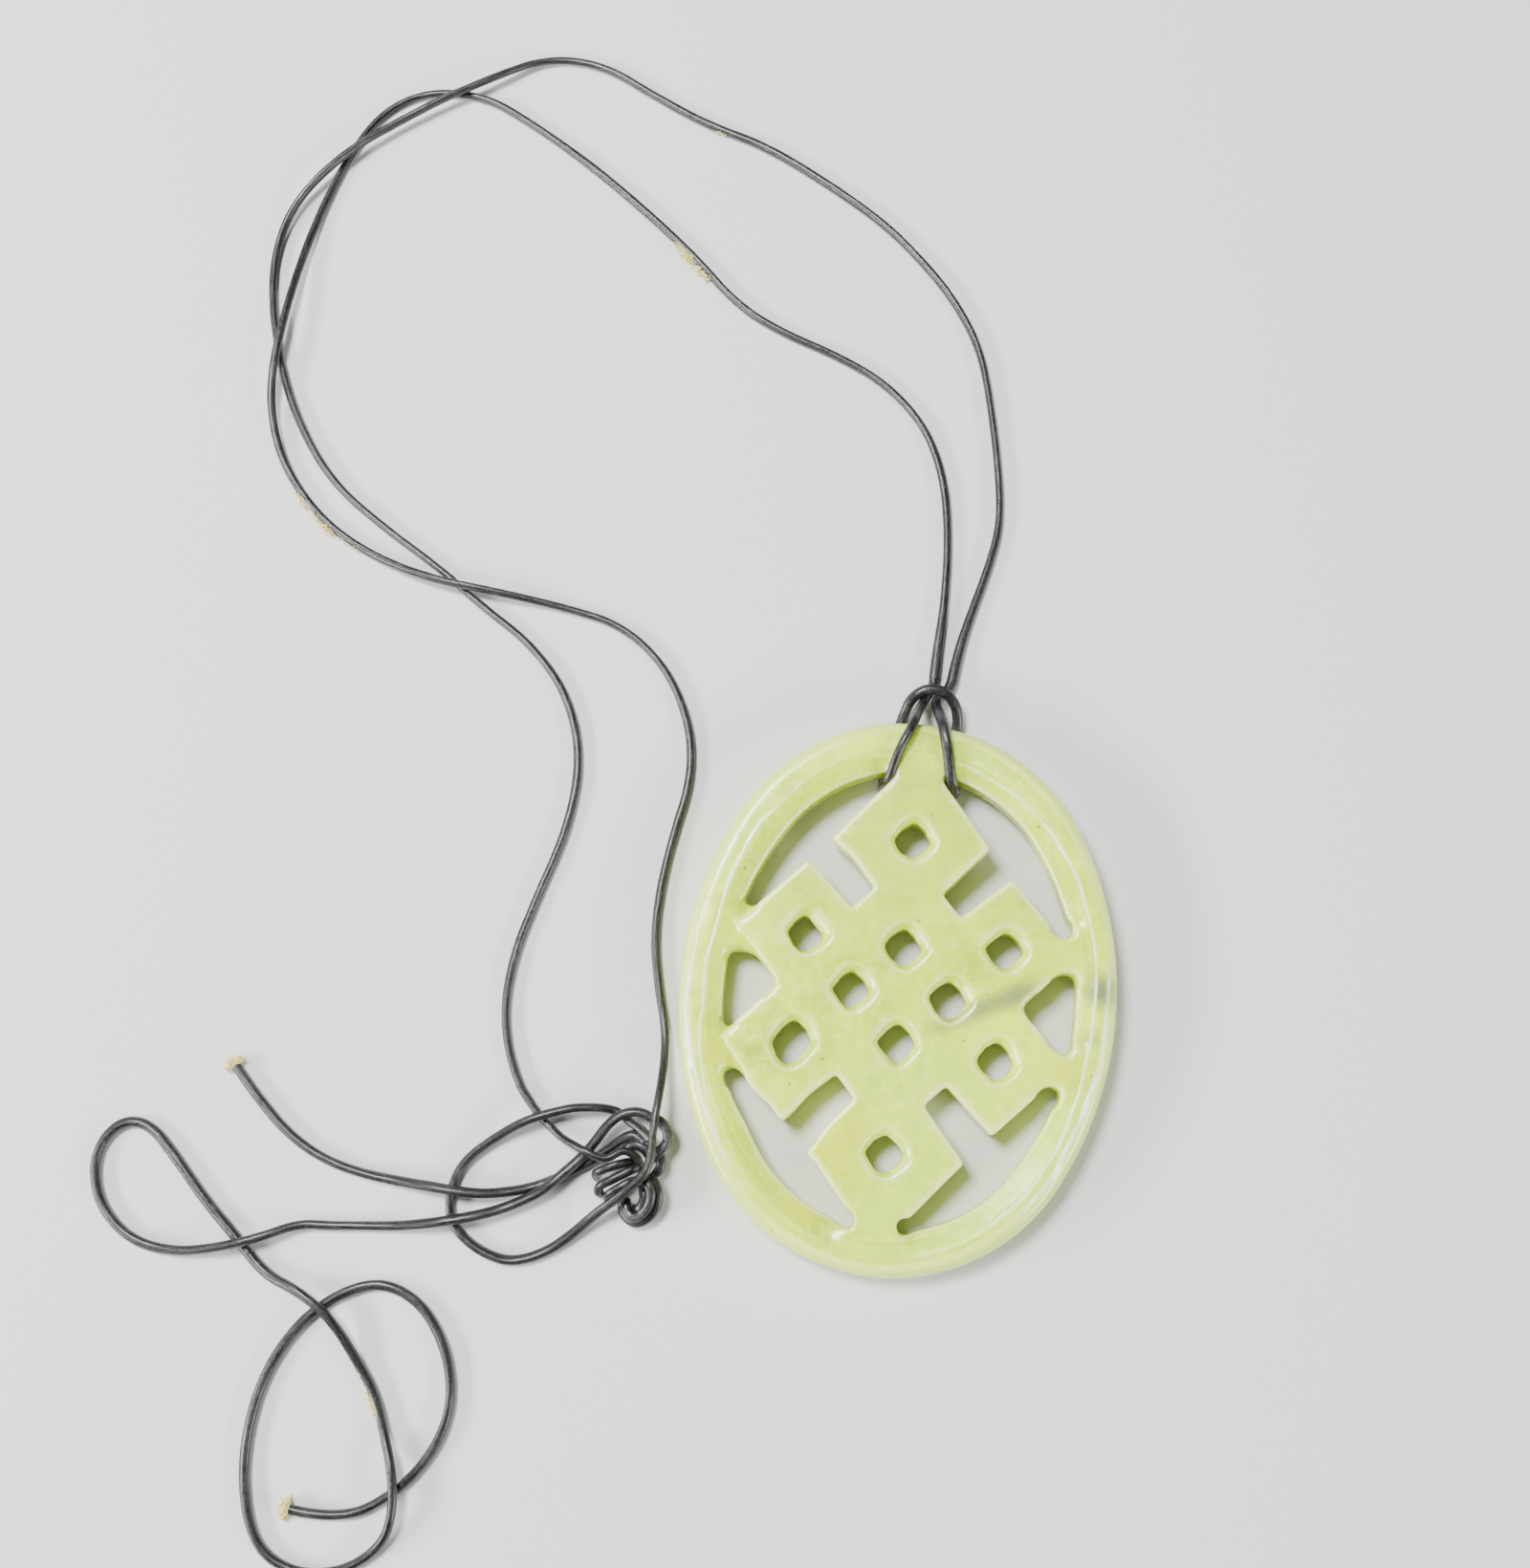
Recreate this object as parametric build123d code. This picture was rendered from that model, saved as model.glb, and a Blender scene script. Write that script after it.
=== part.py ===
"""Jade endless knot pendant lying face up on its leather neck cord.

Millimetres. The origin is on the surface below the middle of the jade, +Z is up and +Y runs
along the jade's long axis to the end that the cord is hitched round.
"""

from math import asin, atan2, cos, degrees, radians, sin, tan
import os

from build123d import *

os.makedirs("parts", exist_ok=True)

# Jade: outer oval, whose end radius is a little less than its half width
OVAL_HALF_WIDTH = 30.2
OVAL_HALF_LENGTH = 38.3
OVAL_END_RADIUS = 0.91 * OVAL_HALF_WIDTH
THICKNESS = 5.4
RIM_ROUND = 2.0

# Jade: the carving inside the oval, which sits a little off its middle
CARVING_X = 0.01 * OVAL_HALF_WIDTH
CARVING_Y = -0.013 * OVAL_HALF_LENGTH
RIDGE_INSET_SIDE = 0.119 * OVAL_HALF_WIDTH
RIDGE_INSET_END = 0.091 * OVAL_HALF_LENGTH
RING_WIDTH_SIDE = 0.192 * OVAL_HALF_WIDTH
RING_WIDTH_END = 0.17 * OVAL_HALF_LENGTH
BRIDGE_DEPTH = 1.3

# Jade: the knot's outline, the small holes and the rounding of its edges
OUTLINE_ROUND = 0.6
TOP_EDGE_ROUND = 0.5
HOLE_SIDE = 3.9
HOLE_CORNER_ROUND = 0.8
HOLE_BEVEL = 0.8

# Tests for a corner: how near an edge's end lies to it, and how much alike two tangents are
SAME_POINT = 0.001
STRAIGHT_ON = 0.98

# One quarter of the knot's outline, as shares of the oval's half width and half length.
# It runs from the inner corner at the side to the corner that is carved into the ring's end.
KNOT_QUARTER = (
    # across, along
    (0.560, 0.000),
    (0.785, 0.199),
    (0.471, 0.462),
    (0.250, 0.302),
    (0.158, 0.380),
    (0.359, 0.564),
    (0.000, 0.903),
)

# The low bridges between knot and ring, as shares of the oval's half width and half length
BRIDGES = (
    # left, right, low, high
    (-0.119, 0.119, 0.564, 1.000),
    (-0.119, 0.070, -1.000, -0.564),
    (-1.000, -0.471, 0.104, 0.274),
    (0.471, 1.000, 0.138, 0.274),
    (-1.000, -0.471, -0.313, -0.175),
    (0.471, 1.000, -0.277, -0.144),
)

# The ten small holes, as shares of the oval's half width and half length
SMALL_HOLES = (
    # across, along
    (0.000, 0.565),
    (-0.461, 0.199),
    (0.461, 0.199),
    (0.000, 0.173),
    (-0.223, 0.000),
    (0.223, 0.000),
    (0.000, -0.173),
    (-0.461, -0.199),
    (0.461, -0.199),
    (0.000, -0.565),
)

# Cord: the worn neck stretch has pulled thinner than the hitch and the tails
HITCH_DIAMETER = 1.5
STRAND_DIAMETER = 1.2
TAIL_DIAMETER = 1.4
CORD_GAP = 0.07
BEND_SHARE = 0.45

# How the stone lies: its far end on the surface, its ring's near end on the hitch
FAR_EDGE = OVAL_HALF_LENGTH - RIM_ROUND
NEAR_SEAT = OVAL_HALF_LENGTH - RING_WIDTH_END + CARVING_Y
TIP = asin((HITCH_DIAMETER + CORD_GAP) / (FAR_EDGE + NEAR_SEAT))
LIFT = FAR_EDGE * sin(TIP) + (THICKNESS / 2 - RIM_ROUND) * cos(TIP) + RIM_ROUND
RING_TOP = LIFT + OVAL_HALF_LENGTH * sin(TIP) + THICKNESS / 2 * cos(TIP)

# Cut ends of the cord, where the pale core has frayed open
FRAY_DIAMETER = 2.2
FRAY_LENGTH = 2.0
FRAY_ROUND = 0.6

# The tied knot in the cord, with its outline from the middle of the stone's hitched end
KNOT_HEIGHT = 4.4
KNOT_PLAN_ROUND = 1.3
KNOT_TOP_ROUND = 1.4
KNOT_OUTLINE = (
    (-41.6, -62.9),
    (-38.0, -58.7),
    (-33.4, -57.9),
    (-30.1, -59.5),
    (-29.9, -64.3),
    (-30.6, -68.3),
    (-30.2, -71.9),
    (-32.4, -74.2),
    (-35.4, -73.5),
    (-37.2, -70.5),
    (-40.4, -68.5),
    (-42.0, -65.9),
)

# Cord routes, chosen by hand, from the middle of the stone's hitched end: across, beyond it, up.
# Each tube runs straight between these points and turns in arcs.
# Outer neck strand, from the hitch round the loop to the left side of the knot
OUTER_STRAND = (
    (4.5, 8.2, 0.6), (5.0, 12.2, 0.6), (6.0, 18.7, 0.6), (7.8, 26.2, 0.6), (9.0, 33.2, 0.6),
    (8.0, 41.7, 0.6), (6.0, 52.2, 0.6), (3.5, 61.7, 0.6), (-1.5, 69.7, 0.6), (-7.0, 75.7, 0.6),
    (-13.0, 81.2, 0.6), (-23.0, 87.7, 0.6), (-33.0, 93.2, 0.6), (-42.5, 96.2, 0.6),
    (-51.5, 100.7, 0.6), (-60.5, 105.7, 0.6), (-70.0, 106.2, 0.6), (-77.5, 101.2, 2.1),
    (-86.0, 96.2, 2.1), (-92.5, 91.7, 1.8), (-97.5, 87.7, 2.1), (-103.0, 81.7, 2.1),
    (-107.0, 75.7, 1.2), (-108.5, 68.2, 0.6), (-107.5, 59.7, 0.6), (-104.5, 49.7, 0.6),
    (-100.0, 40.2, 0.6), (-93.0, 30.7, 0.6), (-83.0, 23.7, 0.6), (-74.5, 18.7, 0.6),
    (-67.0, 13.2, 0.6), (-59.0, 8.2, 0.6), (-52.5, 1.2, 0.6), (-49.0, -8.3, 0.6),
    (-49.5, -19.3, 0.6), (-52.8, -30.3, 0.6), (-55.0, -39.3, 0.6), (-55.0, -47.8, 0.6),
    (-52.0, -55.8, 0.6), (-48.5, -59.8, 0.6), (-45.0, -62.3, 1.0), (-41.2, -63.8, 1.9),
)
# Inner neck strand, from the hitch round the loop and over the knot
INNER_STRAND = (
    (1.5, 8.2, 0.6), (1.5, 13.2, 0.6), (2.0, 21.7, 0.6), (1.5, 30.2, 0.6), (0.0, 39.7, 0.6),
    (-3.5, 47.7, 0.6), (-10.0, 54.2, 0.6), (-18.0, 58.2, 0.6), (-26.5, 61.2, 0.6),
    (-34.0, 65.2, 0.6), (-42.0, 73.2, 0.6), (-51.0, 80.7, 0.6), (-61.0, 88.2, 0.6),
    (-70.5, 94.2, 0.6), (-79.0, 98.7, 0.6), (-88.5, 98.7, 0.6), (-95.0, 94.7, 0.6),
    (-99.0, 87.2, 0.6), (-101.5, 79.2, 0.6), (-103.5, 69.7, 1.0), (-104.5, 58.2, 2.1),
    (-105.0, 46.7, 2.1), (-103.5, 38.2, 0.9), (-99.5, 30.7, 0.6), (-92.5, 23.7, 0.6),
    (-84.0, 19.2, 0.6), (-74.5, 16.2, 2.1), (-65.0, 15.2, 2.1), (-55.0, 14.2, 0.6),
    (-45.5, 12.2, 0.6), (-38.0, 6.2, 0.6), (-33.5, -2.3, 0.6), (-32.5, -10.3, 0.6),
    (-34.0, -18.3, 0.6), (-35.0, -26.3, 0.6), (-35.0, -33.8, 0.6), (-33.5, -40.8, 0.6),
    (-31.5, -47.8, 1.3), (-31.0, -53.8, 3.2), (-31.5, -58.8, 4.8), (-31.5, -63.3, 4.9),
)
# Big loop, from the top of the knot out to the left and back into it
KNOT_LOOP = (
    (-31.5, -63.3, 4.9), (-31.8, -66.3, 4.4), (-34.0, -70.3, 3.4), (-37.5, -73.3, 2.0),
    (-41.0, -76.3, 0.9), (-45.5, -79.3, 0.7), (-50.5, -80.3, 0.7), (-55.0, -78.8, 0.7),
    (-58.5, -75.8, 0.7), (-59.0, -71.3, 0.7), (-57.5, -67.3, 0.7), (-53.5, -63.8, 1.1),
    (-49.5, -61.1, 2.3), (-44.0, -58.9, 2.3), (-40.6, -59.1, 1.9), (-38.5, -60.3, 1.6),
)
# Short tail, from the left side of the knot
SHORT_TAIL = (
    (-41.3, -66.6, 0.9), (-44.0, -68.3, 0.7), (-48.0, -70.3, 0.8), (-52.0, -71.3, 1.4),
    (-55.5, -71.8, 2.3), (-61.0, -71.5, 2.3), (-66.0, -71.3, 1.0), (-72.0, -70.8, 0.7),
    (-78.0, -69.3, 0.7), (-83.5, -66.3, 0.7), (-88.0, -62.3, 0.7), (-91.0, -59.1, 0.7),
    (-92.6, -57.1, 0.7),
)
# Long tail, from the left side of the knot through one lasso turn and one large open turn
LONG_TAIL = (
    (-41.4, -65.3, 2.9), (-43.2, -68.1, 2.7), (-46.5, -70.8, 1.8), (-51.0, -73.3, 1.5),
    (-55.0, -74.8, 2.3), (-60.5, -76.3, 2.3), (-65.5, -77.3, 0.9), (-70.5, -77.8, 0.7),
    (-75.0, -78.3, 0.7), (-79.5, -78.5, 0.9), (-84.0, -80.8, 2.3), (-89.5, -82.8, 2.3),
    (-96.5, -84.3, 0.9), (-103.0, -83.3, 0.7), (-108.0, -79.3, 0.7), (-110.0, -74.3, 0.7),
    (-109.5, -70.3, 0.7), (-107.0, -67.3, 0.7), (-103.0, -67.3, 0.7), (-98.0, -72.0, 0.7),
    (-93.0, -77.1, 0.7), (-88.0, -81.3, 0.7), (-83.0, -85.8, 0.9), (-77.5, -87.3, 2.3),
    (-72.5, -90.3, 2.3), (-68.5, -95.3, 0.9), (-65.0, -99.8, 0.7), (-63.0, -104.8, 0.9),
    (-61.0, -108.8, 2.3), (-60.0, -114.3, 2.3), (-61.5, -118.8, 0.9), (-66.0, -122.3, 0.7),
    (-72.0, -123.3, 0.7), (-77.5, -121.3, 0.7), (-80.5, -116.3, 0.7), (-82.0, -109.3, 0.7),
    (-81.5, -100.8, 0.7), (-78.5, -93.3, 0.7), (-73.5, -87.8, 0.7), (-67.0, -84.8, 0.7),
    (-61.0, -86.8, 0.7), (-56.5, -92.3, 0.7), (-54.5, -99.3, 0.7), (-56.0, -105.8, 0.7),
    (-60.5, -111.8, 0.7), (-67.0, -115.8, 0.7), (-73.5, -114.8, 0.7),
)
# Hitch: up from the outer strand, over the ring's front, down through the right gap, back under
# the ring, over both strands as a bight, under the ring again, up the left gap and out.
# Its height is a share of the way from lying on the surface up to lying on the ring.
HITCH = (
    # across, beyond the end, height share
    (4.5, 8.2, 0.00), (3.1, 5.8, 0.03), (2.1, 2.9, 0.49), (3.0, -0.7, 1.00), (4.2, -3.9, 1.03),
    (5.3, -8.7, 0.78), (5.6, -9.0, 0.39), (5.7, -8.9, 0.00), (6.0, -4.9, 0.00), (6.1, -0.7, 0.00),
    (5.8, 2.3, 0.08), (4.8, 5.1, 0.31), (2.4, 6.5, 0.42), (-0.2, 6.2, 0.42), (-2.3, 4.5, 0.28),
    (-3.4, 1.9, 0.08), (-4.0, -0.9, 0.00), (-4.5, -5.0, 0.00), (-4.8, -8.9, 0.00),
    (-4.8, -9.0, 0.39), (-4.5, -8.7, 0.78), (-2.2, -3.9, 1.03), (-1.2, -0.7, 1.00),
    (-0.2, 2.9, 0.49), (0.8, 5.8, 0.03), (1.5, 8.2, 0.00),
)


def oval(half_width, half_length, end_radius):
    """Face inside four tangent arcs: a tight one at each end and a flat one down each side."""
    end_y = half_length - end_radius
    side_x = (end_y**2 - (half_width - end_radius) ** 2) / (2 * (half_width - end_radius))
    turn = atan2(end_y, side_x)
    join_x = end_radius * cos(turn)
    join_y = end_y + end_radius * sin(turn)
    arcs = [
        ThreePointArc((join_x, -join_y), (half_width, 0), (join_x, join_y)),
        ThreePointArc((join_x, join_y), (0, half_length), (-join_x, join_y)),
        ThreePointArc((-join_x, join_y), (-half_width, 0), (-join_x, -join_y)),
        ThreePointArc((-join_x, -join_y), (0, -half_length), (join_x, -join_y)),
    ]
    return make_face(arcs)


def inner_oval(inset_side, inset_end):
    """Face inside the ring, set in from the outer oval by one width at the sides, one at the ends."""
    face = oval(
        OVAL_HALF_WIDTH - inset_side, OVAL_HALF_LENGTH - inset_end, OVAL_END_RADIUS - inset_end
    )
    return Pos(CARVING_X, CARVING_Y) * face


def ridge_oval():
    """Face inside the crisp ridge between the ring's flat band and its inner slope."""
    return inner_oval(RIDGE_INSET_SIDE, RIDGE_INSET_END)


def opening_oval():
    """Face inside the ring's inner edge."""
    return inner_oval(RING_WIDTH_SIDE, RING_WIDTH_END)


def knot_outline():
    """Face of the whole knot, mirrored from one quarter."""
    quarter = [(x * OVAL_HALF_WIDTH, y * OVAL_HALF_LENGTH) for x, y in KNOT_QUARTER]
    right = [(x, -y) for x, y in reversed(quarter[1:])] + quarter
    left = [(-x, y) for x, y in reversed(right[1:-1])]
    return Pos(CARVING_X, CARVING_Y) * make_face(Polyline(*right, *left, close=True))


def corners(face):
    """Corners at which a face's outline turns, leaving out the joins between tangent arcs."""
    found = []
    for vertex in face.vertices():
        meeting = [edge for edge in face.edges() if edge.distance_to(vertex) < SAME_POINT]
        first, second = (edge.tangent_at(vertex.center()) for edge in meeting)
        if abs(first.dot(second)) < STRAIGHT_ON:
            found.append(vertex)
    return found


def bridges():
    """Faces of the bars that join the knot to the ring, two at the ends and four at the sides."""
    bars = Sketch()
    for left, right, low, high in BRIDGES:
        middle = Pos((left + right) / 2 * OVAL_HALF_WIDTH, (low + high) / 2 * OVAL_HALF_LENGTH)
        bars += middle * Rectangle((right - left) * OVAL_HALF_WIDTH, (high - low) * OVAL_HALF_LENGTH)
    return Pos(CARVING_X, CARVING_Y) * bars


def small_hole():
    """Tool for one rounded square hole, set on its corner and bevelled on both faces."""
    mouth = HOLE_SIDE + 2 * HOLE_BEVEL
    shaft = Rot(0, 0, 45) * RectangleRounded(HOLE_SIDE, HOLE_SIDE, HOLE_CORNER_ROUND)
    flare = Rot(0, 0, 45) * RectangleRounded(mouth, mouth, HOLE_CORNER_ROUND + HOLE_BEVEL)
    top = loft([Pos(0, 0, THICKNESS - HOLE_BEVEL) * shaft, Pos(0, 0, THICKNESS) * flare])
    low = loft([flare, Pos(0, 0, HOLE_BEVEL) * shaft])
    middle = extrude(Pos(0, 0, HOLE_BEVEL / 2) * shaft, THICKNESS - HOLE_BEVEL)
    return top + middle + low


def ring_blank():
    """Oval slab with a rounded rim, carved down a slope from the ridge to the bridges' level."""
    slab = extrude(oval(OVAL_HALF_WIDTH, OVAL_HALF_LENGTH, OVAL_END_RADIUS), THICKNESS)
    rim = slab.edges().filter_by(Plane.XY)
    slab = fillet(rim, RIM_ROUND)
    bridge_top = THICKNESS - BRIDGE_DEPTH
    slope = loft([Pos(0, 0, bridge_top) * opening_oval(), Pos(0, 0, THICKNESS) * ridge_oval()])
    return slab - slope


def jade_pendant():
    """The pierced jade in one piece, tipped so that its cord end lies on the hitch."""
    voids = opening_oval() - knot_outline() - bridges()
    stone = ring_blank()
    for face in voids.faces():
        stone -= extrude(fillet(corners(face), OUTLINE_ROUND), THICKNESS)
    bridge_top = THICKNESS - BRIDGE_DEPTH
    outline = knot_outline()
    outline = fillet(outline.vertices(), OUTLINE_ROUND)
    crown = extrude(Pos(0, 0, bridge_top) * outline, BRIDGE_DEPTH)
    crown = fillet(crown.faces().sort_by(Axis.Z)[-1].edges(), TOP_EDGE_ROUND)
    stone += crown
    for x, y in SMALL_HOLES:
        place = Pos(CARVING_X + x * OVAL_HALF_WIDTH, CARVING_Y + y * OVAL_HALF_LENGTH, 0)
        stone -= place * small_hole()
    return tipped(stone)


def tipped(stone):
    """Turn the stone so that its far end rests on the surface and its near end on the cord."""
    return Pos(0, 0, LIFT) * Rot(degrees(TIP), 0, 0) * Pos(0, 0, -THICKNESS / 2) * stone


def bend_radii(points):
    """Arc radius at each inner point: 0.45 of the shorter run over the tangent of half the turn."""
    places = [Vector(*point) for point in points]
    radii = []
    for before, here, after in zip(places, places[1:], places[2:]):
        turn = (here - before).get_angle(after - here)
        shorter = min((here - before).length, (after - here).length)
        radii.append(BEND_SHARE * shorter / tan(radians(turn / 2)))
    return radii


def cord(points, diameter):
    """Round tube along straight runs joined by tangent arcs."""
    route = FilletPolyline(*points, radius=bend_radii(points))
    start = Plane(origin=points[0], z_dir=Vector(*points[1]) - Vector(*points[0]))
    return sweep(start * Circle(diameter / 2), path=route)


def hitch_route():
    """The hitch's points, with their height shares turned into heights."""
    low = HITCH_DIAMETER / 2
    rise = RING_TOP + CORD_GAP
    return [(x, y, low + share * rise) for x, y, share in HITCH]


def frayed_end(points):
    """Small round tuft standing on the cut end of a tail."""
    last = Vector(*points[-1])
    along = last - Vector(*points[-2])
    middle = Vector(last.X, last.Y, FRAY_DIAMETER / 2)
    plane = Plane(origin=middle, z_dir=along)
    tuft = extrude(plane * Circle(FRAY_DIAMETER / 2), FRAY_LENGTH)
    return fillet(tuft.edges(), FRAY_ROUND)


def cord_knot():
    """Closed lump of the tied knot's outer shape."""
    plan = make_face(Polyline(*KNOT_OUTLINE, close=True))
    plan = fillet(plan.vertices(), KNOT_PLAN_ROUND)
    lump = extrude(plan, KNOT_HEIGHT)
    return fillet(lump.faces().sort_by(Axis.Z)[-1].edges(), KNOT_TOP_ROUND)


STONE = {"jade_pendant": jade_pendant()}
CORD = {
    "cord_hitch": cord(hitch_route(), HITCH_DIAMETER),
    "neck_strand_outer": cord(OUTER_STRAND, STRAND_DIAMETER),
    "neck_strand_inner": cord(INNER_STRAND, STRAND_DIAMETER),
    "cord_knot": cord_knot(),
    "knot_loop": cord(KNOT_LOOP, TAIL_DIAMETER),
    "tail_short": cord(SHORT_TAIL, TAIL_DIAMETER),
    "tail_long": cord(LONG_TAIL, TAIL_DIAMETER),
    "frayed_end_short": frayed_end(SHORT_TAIL),
    "frayed_end_long": frayed_end(LONG_TAIL),
}

for name, shape in STONE.items():
    export_step(shape, f"parts/{name}.step")
for name, shape in CORD.items():
    export_step(Pos(0, OVAL_HALF_LENGTH, 0) * shape, f"parts/{name}.step")
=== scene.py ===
"""Jade endless-knot pendant on its black leather cord, lying on a pale floor."""
import math

import bmesh
import bpy
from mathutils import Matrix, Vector, kdtree, noise


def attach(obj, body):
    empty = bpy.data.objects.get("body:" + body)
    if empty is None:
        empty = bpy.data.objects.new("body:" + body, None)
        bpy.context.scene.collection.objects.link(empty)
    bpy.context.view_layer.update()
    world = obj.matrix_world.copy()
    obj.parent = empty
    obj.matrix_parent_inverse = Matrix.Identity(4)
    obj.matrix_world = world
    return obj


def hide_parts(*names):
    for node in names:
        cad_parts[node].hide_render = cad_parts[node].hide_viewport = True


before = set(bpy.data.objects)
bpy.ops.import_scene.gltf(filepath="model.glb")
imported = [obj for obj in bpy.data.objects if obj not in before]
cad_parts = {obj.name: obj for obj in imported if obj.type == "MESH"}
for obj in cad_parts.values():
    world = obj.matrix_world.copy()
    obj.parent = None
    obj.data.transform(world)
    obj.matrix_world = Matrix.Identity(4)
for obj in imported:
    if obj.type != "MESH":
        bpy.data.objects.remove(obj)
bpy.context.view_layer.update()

MM = 0.001
UP = Vector((0, 0, 1))

# Camera: place in millimetres, turn in degrees, lens and sensor in millimetres, clipping in metres
CAMERA_PLACE = (-3.513, -24.753, 244.126)
CAMERA_TURN = (12.6804, 2.8856, 6.2524)
CAMERA_LENS = 40.5
CAMERA_SENSOR = 36
CAMERA_CLIP = (0.01, 10)


def photo_camera():
    """The camera that sees the necklace as the photo does."""
    data = bpy.data.cameras.new("photo_camera")
    data.lens = CAMERA_LENS
    data.sensor_width = CAMERA_SENSOR
    data.sensor_fit = "HORIZONTAL"
    data.clip_start, data.clip_end = CAMERA_CLIP
    camera = bpy.data.objects.new("photo_camera", data)
    camera.location = Vector(CAMERA_PLACE) * MM
    camera.rotation_euler = [math.radians(a) for a in CAMERA_TURN]
    bpy.context.scene.collection.objects.link(camera)
    bpy.context.scene.camera = camera


photo_camera()

# Cord widths and routes, in millimetres: across, along and height of each control point
HITCH_WIDTH = 1.5
STRAND_WIDTH = 1.2
TAIL_WIDTH = 1.4
KNOT_WIDTH = 1.3

OUTER_STRAND = (
    (3.9, 46.5, 0.8), (4.3, 50, 0.7), (5.4, 55.5, 0.6), (7.8, 64.5, 0.6), (9, 71.5, 0.6), (8, 80, 0.6),
    (6, 90.5, 0.6), (3.5, 100, 0.6), (-1.5, 108, 0.6), (-7, 114, 0.6), (-13, 119.5, 0.6),
    (-23, 126, 0.6), (-33, 131.5, 0.6), (-42.5, 134.5, 0.6), (-51.5, 139, 0.6), (-60.5, 144, 0.6),
    (-70, 144.5, 0.6), (-77.5, 139.5, 2.1), (-86, 134.5, 2.1), (-92.5, 130, 1.8), (-97.5, 126, 2.1),
    (-103, 120, 2.1), (-107, 114, 1.2), (-108.5, 106.5, 0.6), (-107.5, 98, 0.6), (-104.5, 88, 0.6),
    (-100, 78.5, 0.6), (-93, 69, 0.6), (-83, 62, 0.6), (-74.5, 57, 0.6), (-67, 51.5, 0.6),
    (-59, 46.5, 0.6), (-52.5, 39.5, 0.6), (-49, 30, 0.6), (-49.5, 19, 0.6), (-52.8, 8, 0.6),
    (-55, -1, 0.6), (-55, -9.5, 0.6), (-52, -17.5, 0.6), (-48.5, -21.5, 0.6), (-46.2, -23.4, 0.7),
    (-44.2, -24.7, 1.5), (-42.6, -25.3, 2.7), (-41.2, -25.8, 3.5), (-39.8, -26.3, 3.8),
    (-38.4, -26.8, 3.7), (-37.1, -26.7, 3.6), (-36.2, -25.9, 3.5), (-35.2, -25.4, 3.4),
    (-34, -25.7, 3.2), (-33, -26.5, 2.9), (-32.5, -27.7, 2.4),
)
INNER_STRAND = (
    (1.25, 46.5, 0.8), (1.35, 50.5, 0.7), (1.8, 58, 0.6), (1.5, 68.5, 0.6), (0, 78, 0.6),
    (-3.5, 86, 0.6), (-10, 92.5, 0.6), (-18, 96.5, 0.6), (-26.5, 99.5, 0.6), (-34, 103.5, 0.6),
    (-42, 111.5, 0.6), (-51, 119, 0.6), (-61, 126.5, 0.6), (-70.5, 132.5, 0.6), (-79, 137, 0.6),
    (-88.5, 137, 0.6), (-95, 133, 0.6), (-99, 125.5, 0.6), (-101.5, 117.5, 0.6), (-103.5, 108, 1),
    (-104.5, 96.5, 2.1), (-105, 85, 2.1), (-103.5, 76.5, 0.9), (-99.5, 69, 0.6), (-92.5, 62, 0.6),
    (-84, 57.5, 0.6), (-74.5, 54.5, 2.1), (-65, 53.5, 2.1), (-55, 52.5, 0.6), (-45.5, 50.5, 0.6),
    (-38, 44.5, 0.6), (-33.5, 36, 0.6), (-32.5, 28, 0.6), (-34, 20, 0.6), (-35, 12, 0.6),
    (-35, 4.5, 0.6), (-33.5, -2.5, 0.6), (-31.8, -8.2, 0.8), (-31.3, -12.5, 1.9),
    (-31.2, -15.7, 3.3), (-31.2, -17.8, 4.3), (-31.3, -19.8, 4.8), (-31.3, -21.6, 5),
    (-31.3, -23.3, 5), (-31.2, -24.9, 5),
)
KNOT_LOOP = (
    (-31.2, -24.9, 5), (-31.2, -26.3, 5), (-31.6, -27.8, 5), (-32.5, -29.1, 4.9),
    (-33.7, -30.4, 4.5), (-35.2, -31.8, 3.8), (-36.9, -33.2, 2.9), (-38.9, -35, 1.8),
    (-41.2, -37.4, 1), (-44, -39.8, 0.7), (-47.3, -41.5, 0.7), (-50.5, -42, 0.7), (-55, -40.5, 0.7),
    (-58.5, -37.5, 0.7), (-59, -33, 0.7), (-57.5, -29, 0.7), (-53.5, -25.5, 1.1),
    (-49.5, -22.8, 2.3), (-44, -20.6, 2.3), (-41, -20.1, 2.1), (-38.9, -20, 1.6),
    (-37.4, -20.1, 1.2), (-36.2, -20.6, 1.2), (-35.2, -21.4, 1.4), (-34, -22, 1.9),
    (-32.8, -22.7, 2.4), (-31.9, -23.6, 2.7),
)
SHORT_TAIL = (
    (-32.7, -24.1, 2.3), (-33.5, -23.4, 2.2), (-34.5, -23.1, 2.1), (-35.6, -23.7, 1.9),
    (-36.9, -24.8, 1.5), (-38.3, -26, 1.1), (-39.8, -27.2, 0.8), (-41.6, -28.5, 0.7),
    (-44, -30, 0.7), (-48, -32, 0.8), (-52, -33, 1.4), (-55.5, -33.5, 2.3), (-61, -33.2, 2.3),
    (-66, -33, 1), (-72, -32.5, 0.7), (-78, -31, 0.7), (-83.5, -28, 0.7), (-88, -24, 0.7),
    (-90.3, -21.7, 0.7), (-92.1, -19.8, 0.7),
)
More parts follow.
